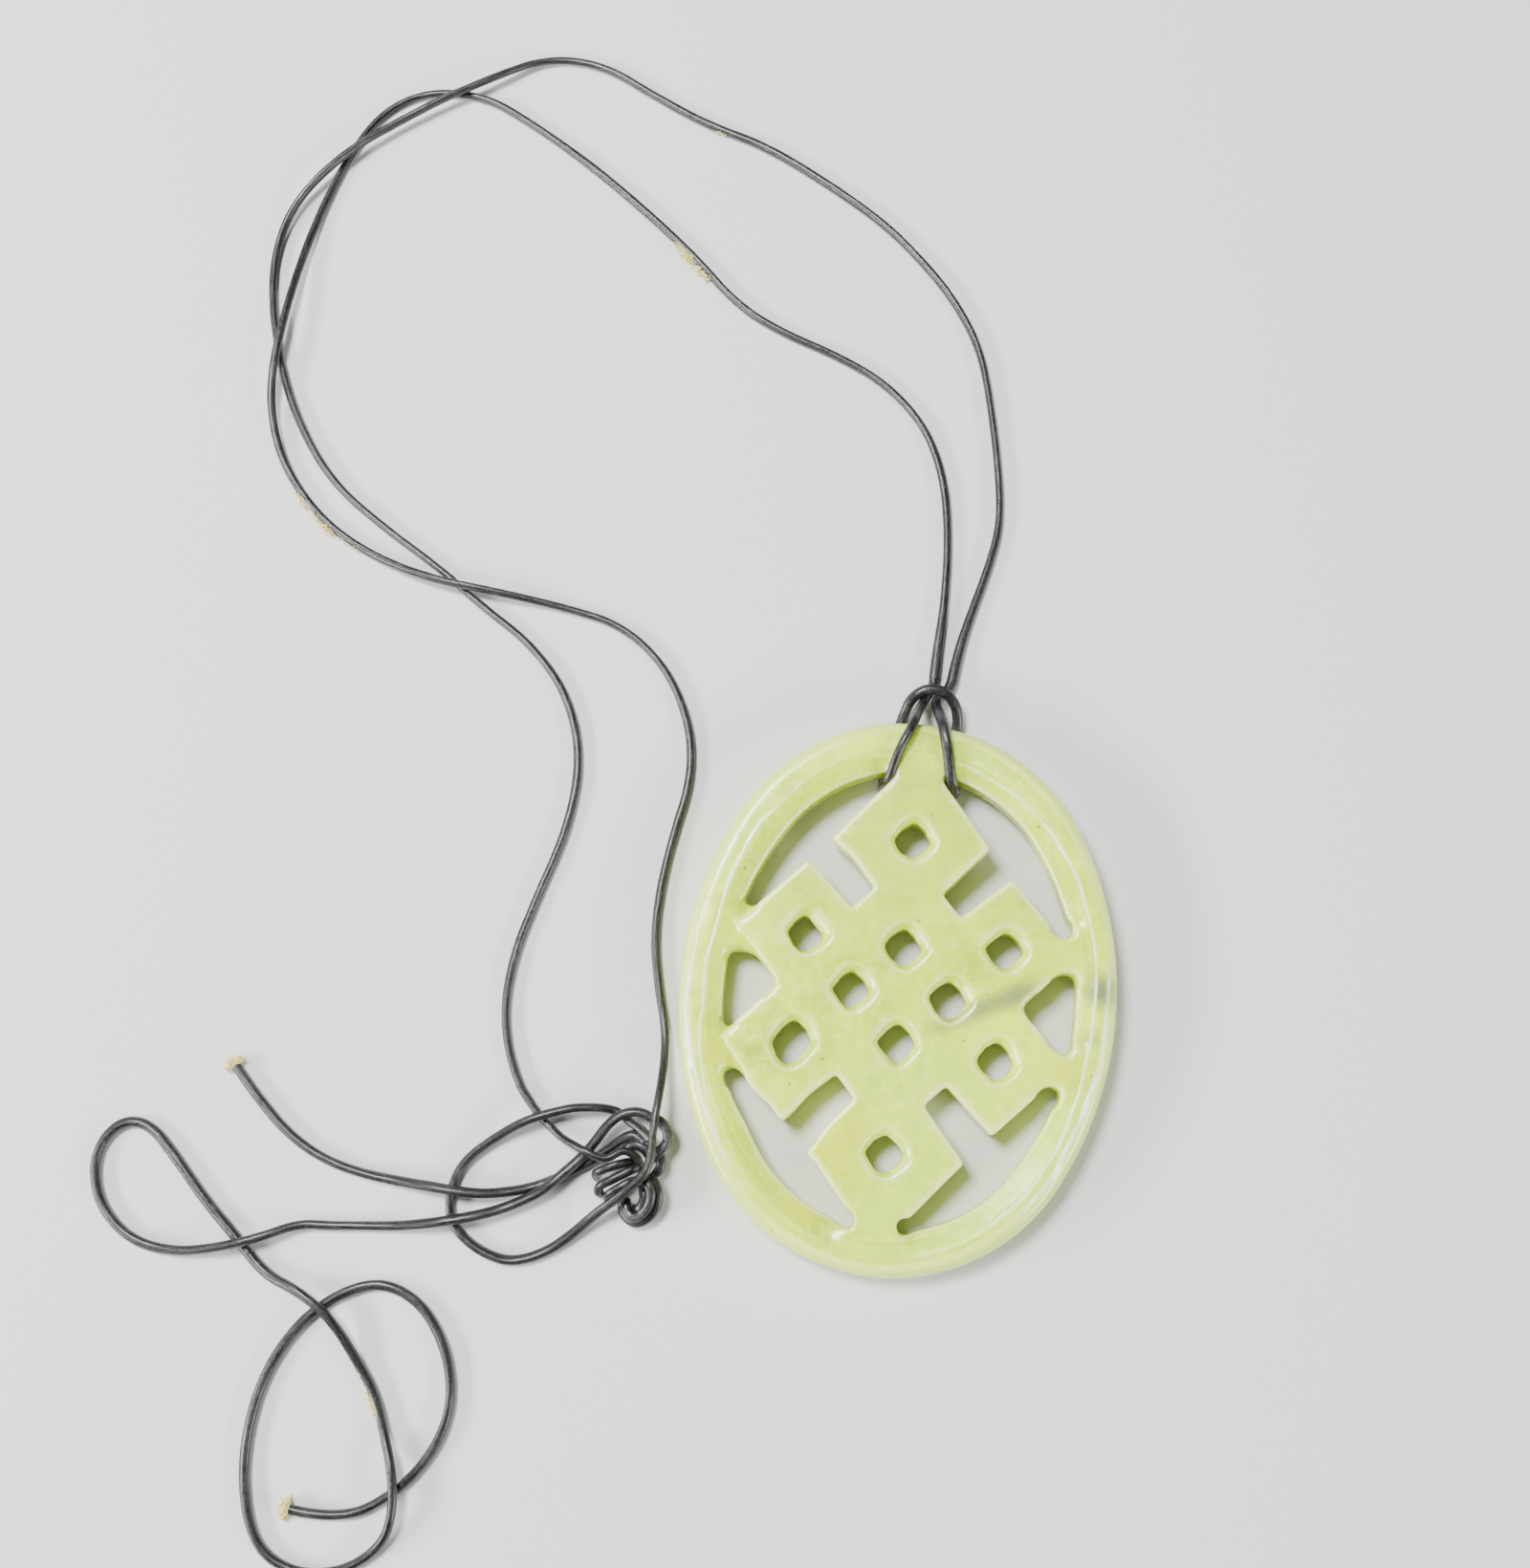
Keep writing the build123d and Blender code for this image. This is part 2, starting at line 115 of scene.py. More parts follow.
LONG_TAIL = (
    (-32, -20.6, 2.9), (-33.3, -20, 2.9), (-35, -20.1, 2.8), (-36.6, -20.8, 2.7), (-38, -22.2, 2.5),
    (-39.1, -24, 2.3), (-40.2, -25.7, 2.1), (-41.4, -27.3, 2), (-42.8, -28.8, 2.1),
    (-44.7, -30.8, 2.2), (-46.5, -32.5, 1.8), (-51, -35, 1.5), (-55, -36.5, 2.3), (-60.5, -38, 2.3),
    (-65.5, -39, 0.9), (-70.5, -39.5, 0.7), (-75, -40, 0.7), (-79.5, -40.2, 0.9), (-84, -42.5, 2.3),
    (-89.5, -44.5, 2.3), (-96.5, -46, 0.9), (-103, -45, 0.7), (-108, -41, 0.7), (-110, -36, 0.7),
    (-109.5, -32, 0.7), (-107, -29, 0.7), (-103, -29, 0.7), (-98, -33.7, 0.7), (-93, -38.8, 0.7),
    (-88, -43, 0.7), (-83, -47.5, 0.9), (-77.5, -49, 2.3), (-72.5, -52, 2.3), (-68.5, -57, 0.9),
    (-65, -61.5, 0.7), (-63, -66.5, 0.9), (-61, -70.5, 2.3), (-60, -76, 2.3), (-61.5, -80.5, 0.9),
    (-66, -84, 0.7), (-72, -85, 0.7), (-77.5, -83, 0.7), (-80.5, -78, 0.7), (-82, -71, 0.7),
    (-81.5, -62.5, 0.7), (-78.5, -55, 0.7), (-73.5, -49.5, 0.7), (-67, -46.5, 0.7),
    (-61, -48.5, 0.7), (-56.5, -54, 0.7), (-54.5, -61, 0.7), (-56, -67.5, 0.7), (-60.5, -73.5, 0.7),
    (-67.4, -77.8, 0.7), (-74.5, -77.1, 0.7),
)
HITCH = (
    (3.9, 46.5, 0.8), (3.6, 44.9, 0.8), (2.5, 43.9, 1.3), (1.8, 42.4, 2.4), (2.2, 40.3, 5),
    (2.9, 38.4, 7.4), (3.3, 36.6, 8.05), (3.9, 34.4, 8), (4.4, 32.2, 7.2), (4.8, 30.4, 6.5),
    (5.3, 29.5, 5.8), (5.6, 29.3, 4), (5.6, 29.3, 2.2), (5.6, 29.4, 0.95), (5.7, 30.8, 0.75),
    (5.5, 33.4, 0.75), (5.2, 36.2, 0.75), (5.1, 38, 0.8), (5.3, 39.6, 1.2), (5.1, 41.1, 1.9),
    (4.5, 42.6, 2.7), (3.2, 43.8, 3.2), (1.4, 44.3, 3.4), (-0.5, 43.8, 3.2), (-1.9, 42.5, 2.5),
    (-2.5, 40.9, 1.5), (-3, 39.2, 0.9), (-3.2, 37.6, 0.75), (-3.7, 35.2, 0.75), (-4.3, 32.6, 0.75),
    (-4.6, 30.6, 0.75), (-4.7, 29.4, 0.95), (-4.7, 29.3, 2.2), (-4.6, 29.3, 4), (-4.1, 29.5, 5.8),
    (-3.6, 30.4, 6.5), (-3.2, 32.2, 7.2), (-2.5, 34.4, 8), (-1.5, 36.6, 8.05), (-1, 38.4, 7.4),
    (-0.6, 40.3, 5), (0, 42.4, 2.4), (0.7, 43.9, 1.3), (1.15, 44.9, 0.8), (1.25, 46.5, 0.8),
)

# The tied knot's own turns, one route for each stretch that shows
KNOT_WRAPS = {
    "small_loop": (
        (-32.2, -20.6, 2.8), (-31.2, -20.7, 2.9), (-30.2, -21.3, 2.9), (-29.5, -22.3, 2.9),
        (-29.4, -23.5, 2.9), (-30, -24.6, 2.9), (-30.8, -25.5, 2.7), (-31.4, -26.5, 2.3),
    ),
    "hidden_arc": (
        (-35.3, -25.3, 1.6), (-34.6, -24.8, 2), (-33.6, -24.5, 2.3), (-32.6, -24.8, 2.4),
        (-31.8, -25.6, 2.4), (-31.5, -26.5, 2.2),
    ),
    "first_wrap": (
        (-38.8, -29.7, 0.9), (-38.9, -29, 1.9), (-38.3, -28.6, 2.9), (-37.2, -28, 3.3),
        (-36.1, -27.5, 3.4), (-35, -27.1, 3.2), (-34.2, -26.9, 2.5), (-33.9, -27.2, 1.6),
    ),
    "second_wrap": (
        (-37.9, -31.8, 0.9), (-38.3, -31.3, 1.9), (-38, -30.5, 2.8), (-37, -29.9, 3.3),
        (-35.7, -29.1, 3.4), (-34.5, -28.3, 3.4), (-33.4, -27.6, 3.2), (-32.9, -27.5, 2.3),
        (-32.6, -27.9, 1.4),
    ),
    "third_wrap": (
        (-36.8, -32.5, 0.8), (-37, -31.8, 1.5), (-36.4, -31.3, 2.3), (-35.3, -30.5, 2.6),
        (-34.2, -29.7, 2.6), (-33.2, -29, 2.4),
    ),
    "outer_bight": (
        (-32, -28.2, 2.5), (-31, -28.7, 2.7), (-30.2, -29.6, 2.7), (-29.8, -30.8, 2.5),
        (-29.8, -32.1, 2.2), (-30.4, -33.5, 1.9), (-31.4, -34.5, 1.6), (-32.6, -35, 1.3),
        (-33.8, -34.6, 1), (-34.7, -33.7, 0.9), (-34.9, -32.6, 0.9), (-34.6, -31.6, 0.9),
    ),
    "inner_bight": (
        (-32.5, -28.9, 3), (-31.6, -29.3, 3.4), (-30.9, -30.2, 3.5), (-30.7, -31.4, 3.3),
        (-31.1, -32.7, 2.9), (-31.9, -33.8, 2.5), (-32.9, -34.2, 2.1), (-33.8, -33.8, 1.9),
        (-34.3, -32.8, 1.8), (-34.1, -31.7, 1.6),
    ),
    "core": (
        (-32.4, -29.9, 1.8), (-31.9, -30.6, 2.2), (-31.7, -31.7, 2.2), (-32.1, -32.8, 2),
        (-32.6, -33.3, 1.5), (-33.2, -32.9, 1),
    ),
    "side_bulge": (
        (-31.5, -24.6, 2), (-30.7, -25.1, 2.1), (-30.1, -26, 2), (-30, -27, 1.9),
        (-30.4, -27.9, 1.8), (-31.1, -28.4, 1.6),
    ),
}

# Cord laying: points for each run of a route's spline, faces round a cord, and millimetres between its rows
ROUTE_FINENESS = 24
FEWEST_STEPS = 4
CORD_SIDES = 18
STRAND_STEP = 0.42
LOOP_STEP = 0.36
KNOT_STEP = 0.3
# A sheet rolled round a line meets itself in a seam, where points this close, in millimetres, are one
SEAM_REACH = 0.0001


def smooth_line(points):
    """The route's own spline, read back as points in metres."""
    curve = bpy.data.curves.new("route", "CURVE")
    curve.dimensions = "3D"
    spline = curve.splines.new("NURBS")
    spline.points.add(len(points) - 1)
    for control, place in zip(spline.points, points):
        control.co = (*(Vector(place) * MM), 1)
    spline.order_u = 3
    spline.use_endpoint_u = True
    spline.resolution_u = ROUTE_FINENESS
    carrier = bpy.data.objects.new("route", curve)
    mesh = bpy.data.meshes.new_from_object(carrier)
    line = [v.co.copy() for v in mesh.vertices]
    bpy.data.objects.remove(carrier)
    bpy.data.curves.remove(curve)
    bpy.data.meshes.remove(mesh)
    return line


def even_steps(line, step):
    """The same line with its points a step apart."""
    reach = [0.0]
    for a, b in zip(line, line[1:]):
        reach.append(reach[-1] + (b - a).length)
    count = max(FEWEST_STEPS, round(reach[-1] / (step * MM)))
    stations = []
    at = 0
    for k in range(count + 1):
        want = reach[-1] * k / count
        while at < len(line) - 2 and reach[at + 1] < want:
            at += 1
        share = (want - reach[at]) / max(reach[at + 1] - reach[at], 1e-12)
        stations.append(line[at].lerp(line[at + 1], min(1.0, share)))
    return stations


def line_length(line):
    """Length along the line, in metres."""
    return sum((b - a).length for a, b in zip(line, line[1:]))


def across_frames(line):
    """A side and an over direction at each point, carried along without twist."""
    ways = []
    for i in range(len(line)):
        ahead = line[min(i + 1, len(line) - 1)] - line[max(i - 1, 0)]
        ways.append(ahead.normalized())
    side = ways[0].cross(UP)
    if side.length < 0.1:
        side = ways[0].cross(Vector((1, 0, 0)))
    side.normalize()
    frames = [(side, side.cross(ways[0]))]
    for a, b in zip(ways, ways[1:]):
        side = a.rotation_difference(b) @ side
        side = (side - b * side.dot(b)).normalized()
        frames.append((side, side.cross(b)))
    return frames


def between(spots, at):
    """Value at a place along, eased between the listed (place, value) spots."""
    if at <= spots[0][0]:
        return spots[0][1]
    for (a, low), (b, high) in zip(spots, spots[1:]):
        if at <= b:
            share = (at - a) / (b - a)
            return low + (high - low) * share * share * (3 - 2 * share)
    return spots[-1][1]


def fresh_mesh():
    """An empty mesh that can note how worn the skin is, and each point's place on the unrolled cord."""
    bm = bmesh.new()
    bm.verts.layers.float.new("wear")
    bm.verts.layers.float_vector.new("lie")
    return bm


# Places where the dyed skin has worn through
WORN_SPOTS = (
    # across, along, reach, strength, the way the worn side faces
    (-43.9, 111.0, 4.6, 1.0, (-0.6, -0.8)), (-40.8, 132.3, 1.4, 0.6, (-0.4, -0.9)),
    (-96.0, 65.3, 4.0, 0.8, (-0.8, -0.6)), (-91.0, 60.4, 4.5, 0.6, (-0.7, -0.7)),
    (-64.7, -62.8, 3.6, 0.9, (-0.9, -0.3)), (-67.2, -58.6, 3.4, 0.6, (-0.9, -0.3)),
)
WORN_OVERLAP = 0.35


def wear_at(centre):
    """How worn the skin is beside a point of a cord, and which way the worn side faces."""
    for x, y, reach, strength, facing in WORN_SPOTS:
        far = math.hypot(centre.x / MM - x, centre.y / MM - y) / reach
        if far < 1:
            return strength * (1 - far * far), Vector((*facing, 0)).normalized()
    return 0.0, UP


# The lace's surface, in shares of its radius. A wave is how fast the unevenness changes in a millimetre.
GROOVE_DEPTH = 0.08
GROOVE_HALF_ANGLE = 0.42
GROOVE_WAVE = 0.07
FINE_RIDGE = 0.016
FINE_RIDGES = 7
FINE_RIDGE_WAVE = 0.12
LACE_TWIST = 0.03
LACE_SWAY = 1.1
LACE_SWAY_WAVE = 0.045
LACE_FLATNESS = 0.06
DENTS = (
    # depth, wave along, wave round
    (0.035, 0.35, 1.3), (0.018, 1.1, 2.6),
)


def lay_tube(bm, line, width, sides=CORD_SIDES, uneven=1.0, squash=LACE_FLATNESS, seed=0.0):
    """A leather tube along the line, a little flat and grooved. width lists (millimetres along, diameter)."""
    wear = bm.verts.layers.float["wear"]
    lie = bm.verts.layers.float_vector["lie"]
    steps = len(line) - 1
    sheet = bmesh.ops.create_grid(bm, x_segments=steps, y_segments=sides, size=1.0)["verts"]
    rows = [[] for _ in line]
    for v in sheet:
        rows[round((v.co.x + 1) / 2 * steps)].append((round((v.co.y + 1) / 2 * sides) % sides, v))
    seam = [v for v in sheet if abs(v.co.y) > 1 - 0.5 / sides]
    along = 0.0
    for i, (centre, (side, over), row) in enumerate(zip(line, across_frames(line), rows)):
        if i:
            along += (centre - line[i - 1]).length / MM
        radius = between(width, along) / 2
        lean = LACE_TWIST * along + LACE_SWAY * noise.noise((along * LACE_SWAY_WAVE, seed, 3.1))
        worn, facing = wear_at(centre)
        depth = 0.6 + 1.6 * noise.noise((along * GROOVE_WAVE, seed, 8.8))
        groove = GROOVE_DEPTH * uneven * max(0.0, min(1.0, depth))
        ridge_lean = 2 * noise.noise((along * FINE_RIDGE_WAVE, seed, 1.0))
        for k, v in row:
            a = math.tau * k / sides
            b = a + lean
            turn = (math.cos(b), math.sin(b))
            off_top = (b - math.pi / 2 + math.pi) % math.tau - math.pi
            bumpy = (
                squash * math.cos(2 * b)
                - groove * math.exp(-((off_top / GROOVE_HALF_ANGLE) ** 2))
                + FINE_RIDGE * uneven * math.cos(FINE_RIDGES * b + ridge_lean)
            )
            for deep, wave, wave_round in DENTS:
                spot = (along * wave + seed, wave_round * turn[0], wave_round * turn[1])
                bumpy += deep * uneven * noise.noise(spot)
            outward = side * math.cos(a) + over * math.sin(a)
            v.co = centre + outward * (radius * (1 + bumpy) * MM)
            v[wear] = worn * max(0.0, min(1.0, WORN_OVERLAP + outward.dot(facing)))
            v[lie] = Vector((along, radius * turn[0], radius * turn[1]))
    bmesh.ops.remove_doubles(bm, verts=seam, dist=SEAM_REACH * MM)
    for row in (rows[0], rows[-1]):
        rim = {e for _, v in row if v.is_valid for e in v.link_edges if e.is_boundary}
        for face in bmesh.ops.contextual_create(bm, geom=list(rim))["faces"]:
            for edge in face.edges:
                edge.smooth = False


def finish_mesh(bm, name, material):
    """The mesh as one object at the origin, faces outwards."""
    bmesh.ops.recalc_face_normals(bm, faces=bm.faces)
    for face in bm.faces:
        face.smooth = True
    mesh = bpy.data.meshes.new(name)
    bm.to_mesh(mesh)
    bm.free()
    mesh.materials.append(material)
    piece = bpy.data.objects.new(name, mesh)
    bpy.context.scene.collection.objects.link(piece)
    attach(piece, "root")
    return piece


# Shader helpers
def put(tree, kind, inputs=None, **settings):
    """Adds a node; an input is given a value or another node's output."""
    made = tree.nodes.new(kind)
    for key, value in settings.items():
        setattr(made, key, value)
    for key, value in (inputs or {}).items():
        socket = made.inputs[key]
        if isinstance(value, bpy.types.NodeSocket):
            tree.links.new(value, socket)
        else:
            socket.default_value = value
    return made


def ramp(tree, factor, stops):
    """Colour ramp with (position, colour) stops."""
    made = put(tree, "ShaderNodeValToRGB", {"Fac": factor})
    band = made.color_ramp.elements
    while len(band) < len(stops):
        band.new(0.5)
    for element, (position, colour) in zip(band, stops):
        element.position = position
        element.color = (*colour, 1)
    return made.outputs["Color"]


def spread(tree, value, low, high, to_low=0.0, to_high=1.0, smooth=True):
    """The value from low to high, spread over another range and held at its ends."""
    made = put(
        tree, "ShaderNodeMapRange",
        {"Value": value, "From Min": low, "From Max": high, "To Min": to_low, "To Max": to_high},
        interpolation_type="SMOOTHSTEP" if smooth else "LINEAR",
    )
    return made.outputs["Result"]


def blend_colour(tree, factor, a, b):
    """Colour a turned into b by the factor. Each may be a value or another node's output."""
    made = put(tree, "ShaderNodeMix", data_type="RGBA")
    for index, value in ((0, factor), (6, a), (7, b)):
        socket = made.inputs[index]
        if isinstance(value, bpy.types.NodeSocket):
            tree.links.new(value, socket)
        elif isinstance(value, (int, float)):
            socket.default_value = value
        else:
            socket.default_value = (*value, 1)
    return made.outputs[2]


def sums(tree, operation, a, b):
    """One step of arithmetic with two values or other nodes' outputs."""
    made = put(tree, "ShaderNodeMath", operation=operation)
    for index, value in ((0, a), (1, b)):
        if isinstance(value, bpy.types.NodeSocket):
            tree.links.new(value, made.inputs[index])
        else:
            made.inputs[index].default_value = value
    return made.outputs[0]


def new_material(name):
    """A surface with its shader alone: the material, its node tree and the shader."""
    material = bpy.data.materials.new(name)
    material.use_nodes = True
    tree = material.node_tree
    tree.nodes.clear()
    shader = tree.nodes.new("ShaderNodeBsdfPrincipled")
    surface = tree.nodes.new("ShaderNodeOutputMaterial")
    tree.links.new(shader.outputs["BSDF"], surface.inputs["Surface"])
    return material, tree, shader


def times(tree, a, b):
    return sums(tree, "MULTIPLY", a, b)


def noise_at(tree, place, scale, detail, **more):
    """A noise pattern's value. more gives its other inputs by name."""
    inputs = {"Vector": place, "Scale": scale, "Detail": detail, **more}
    return put(tree, "ShaderNodeTexNoise", inputs).outputs["Fac"]


def cells_at(tree, place, scale):
    """How far a place is from the middle of its cell."""
    return put(tree, "ShaderNodeTexVoronoi", {"Vector": place, "Scale": scale}).outputs["Distance"]


# Leather: dyed skin, rubbed streaks, grey grit, painted shade in the creases, and the raw core where the skin
# is torn
DYED_SKIN = (0.0025, 0.0025, 0.0028)
RUBBED_SKIN = (0.06, 0.058, 0.052)
GREY_GRIT = (0.07, 0.068, 0.062)
CREASE_SHADE = (0.002, 0.002, 0.002)
RAW_CORE = (0.42, 0.32, 0.17)
# Stretches of the unrolled cord, along and round, for the lengthwise grain and the creases across
GRAIN_STRETCH = (0.14, 2.4, 2.4)
CREASE_STRETCH = (2.6, 0.7, 0.7)


def cord_leather():
    """Round black leather lace, half glossy: streaked lengthwise, creased across with painted shade in the
    creases, worn tan in places.
    """
    material, tree, shader = new_material("cord_leather")
    lie = put(tree, "ShaderNodeAttribute", attribute_name="lie").outputs["Vector"]
    wear = put(tree, "ShaderNodeAttribute", attribute_name="wear").outputs["Fac"]
    along = put(tree, "ShaderNodeMapping", {"Vector": lie, "Scale": GRAIN_STRETCH}).outputs[0]
    across = put(tree, "ShaderNodeMapping", {"Vector": lie, "Scale": CREASE_STRETCH}).outputs[0]
    grain = noise_at(tree, along, 1.9, 6.0, Roughness=0.65)
    crease = noise_at(tree, across, 1.5, 4.0, Roughness=0.55)
    blotch = noise_at(tree, lie, 0.28, 3.0)
    grit = noise_at(tree, lie, 3.4, 3.0, Roughness=0.6)
    creases = spread(tree, crease, 0.58, 0.66)
    rubbed = times(tree, spread(tree, grain, 0.54, 0.64), spread(tree, blotch, 0.44, 0.62))
    torn = spread(tree, sums(tree, "ADD", wear, times(tree, grain, 0.6)), 0.85, 1.1)
    colour = blend_colour(tree, rubbed, DYED_SKIN, RUBBED_SKIN)
    colour = blend_colour(tree, times(tree, spread(tree, grit, 0.56, 0.68), 0.35), colour, GREY_GRIT)
    # painted shade: the creases are painted darker
    colour = blend_colour(tree, times(tree, creases, 0.7), colour, CREASE_SHADE)
    colour = blend_colour(tree, torn, colour, RAW_CORE)
    tree.links.new(colour, shader.inputs["Base Color"])
    gloss = spread(tree, grain, 0.38, 0.62, 0.24, 0.42, smooth=False)
    tree.links.new(sums(tree, "ADD", gloss, times(tree, torn, 0.4)), shader.inputs["Roughness"])
    height = sums(tree, "ADD", grain, times(tree, creases, -0.7))
    height = sums(tree, "ADD", height, times(tree, cells_at(tree, lie, 4.5), 0.25))
    height = sums(tree, "ADD", height, times(tree, grit, 0.4))
    bump = put(tree, "ShaderNodeBump", {"Height": height, "Strength": 0.7, "Distance": 0.00016})
    tree.links.new(bump.outputs["Normal"], shader.inputs["Normal"])
    shader.inputs["Specular IOR Level"].default_value = 0.45
    shader.inputs["Coat Weight"].default_value = 0.4
    shader.inputs["Coat Roughness"].default_value = 0.2
    return material


FIBRE_SHADES = ((0.36, (0.55, 0.37, 0.07)), (0.5, (0.93, 0.77, 0.24)), (0.62, (1.0, 0.95, 0.50)))


def frayed_fibre():
    """Pale raw fibres of the leather's core."""
    material, tree, shader = new_material("frayed_fibre")
    place = put(tree, "ShaderNodeTexCoord").outputs["Object"]
    shade = noise_at(tree, place, 2600.0, 3.0)
    tree.links.new(ramp(tree, shade, FIBRE_SHADES), shader.inputs["Base Color"])
    tree.links.new(spread(tree, shade, 0.3, 0.7, 0.75, 0.95), shader.inputs["Roughness"])
    shader.inputs["Sheen Weight"].default_value = 0.3
    shader.inputs["Specular IOR Level"].default_value = 0.25
    return material


# Jade: the cloudy ground, then what is laid over it
CLOUD_SHADES = ((0.30, (0.43, 0.56, 0.008)), (0.50, (0.66, 0.85, 0.015)), (0.66, (0.82, 1.0, 0.035)))
DRIFT_TINT = (0.56, 0.80, 0.06)
MOTTLE_TINT = (0.46, 0.62, 0.012)
FLECK_TINT = (0.84, 0.98, 0.12)
RING_DARK = (0.52, 0.66, 0.03)
RING_PALE = (0.86, 1.0, 0.18)
KNOT_TOP_DARKER = (0.42, 0.54, 0.03)
RIM_GLOW_TINT = (0.70, 0.90, 0.26)
SPECK_COLOUR = (0.10, 0.12, 0.05)
NICK_AND_GLINT_COLOUR = (0.95, 1.0, 0.75)
CARVED_SHADE_WEAR_AND_HIGHLIGHT_TINTS = (
    # mesh attribute, share, colour
    ("wall_shade", 0.6, (0.60, 0.68, 0.01)), ("hollow_shade", 0.5, (0.50, 0.55, 0.01)),
    ("edge", 0.75, (0.92, 1.0, 0.42)), ("ridge_highlight", 0.95, (0.94, 1.0, 0.74)),
)

# One over the stone's half width and half length in metres: the oval as a circle
OVAL_SHARE = (1 / 0.0302, 1 / 0.0383, 0.0)

VEIN_SLOPE = math.radians(27)
VEIN_COLOUR = (0.21, 0.26, 0.10)
VEIN = (
    # middle, half length and half width, in millimetres, and strength
    ((12.4, -0.6, 0), (9.5, 1.7), 0.8), ((17.2, 1.9, 0), (3.6, 2.2), 0.7),
    ((28.2, 3.4, 0), (3.4, 3.0), 1.0), ((26.9, -3.5, 0), (2.0, 1.6), 0.5),
)
STAIN_COLOUR = (0.705, 0.78, 0.0)
STAIN_CORE = 0.4
STAINS = (
    # middle and reach, in millimetres, and strength
    ((-8.6, -21.6, 5.5), 10.5, 1.0), ((-9.8, -30.7, 5), 3.2, 0.9), ((-23.1, -10.8, 5), 3.8, 0.6),
    ((-13.0, 26.5, 5), 4.0, 0.5), ((24.5, -8.5, 5), 4.0, 0.6), ((-20.0, -5.0, 5), 3.0, 0.4),
)


def length_of(tree, vector):
    return put(tree, "ShaderNodeVectorMath", {0: vector}, operation="LENGTH").outputs["Value"]


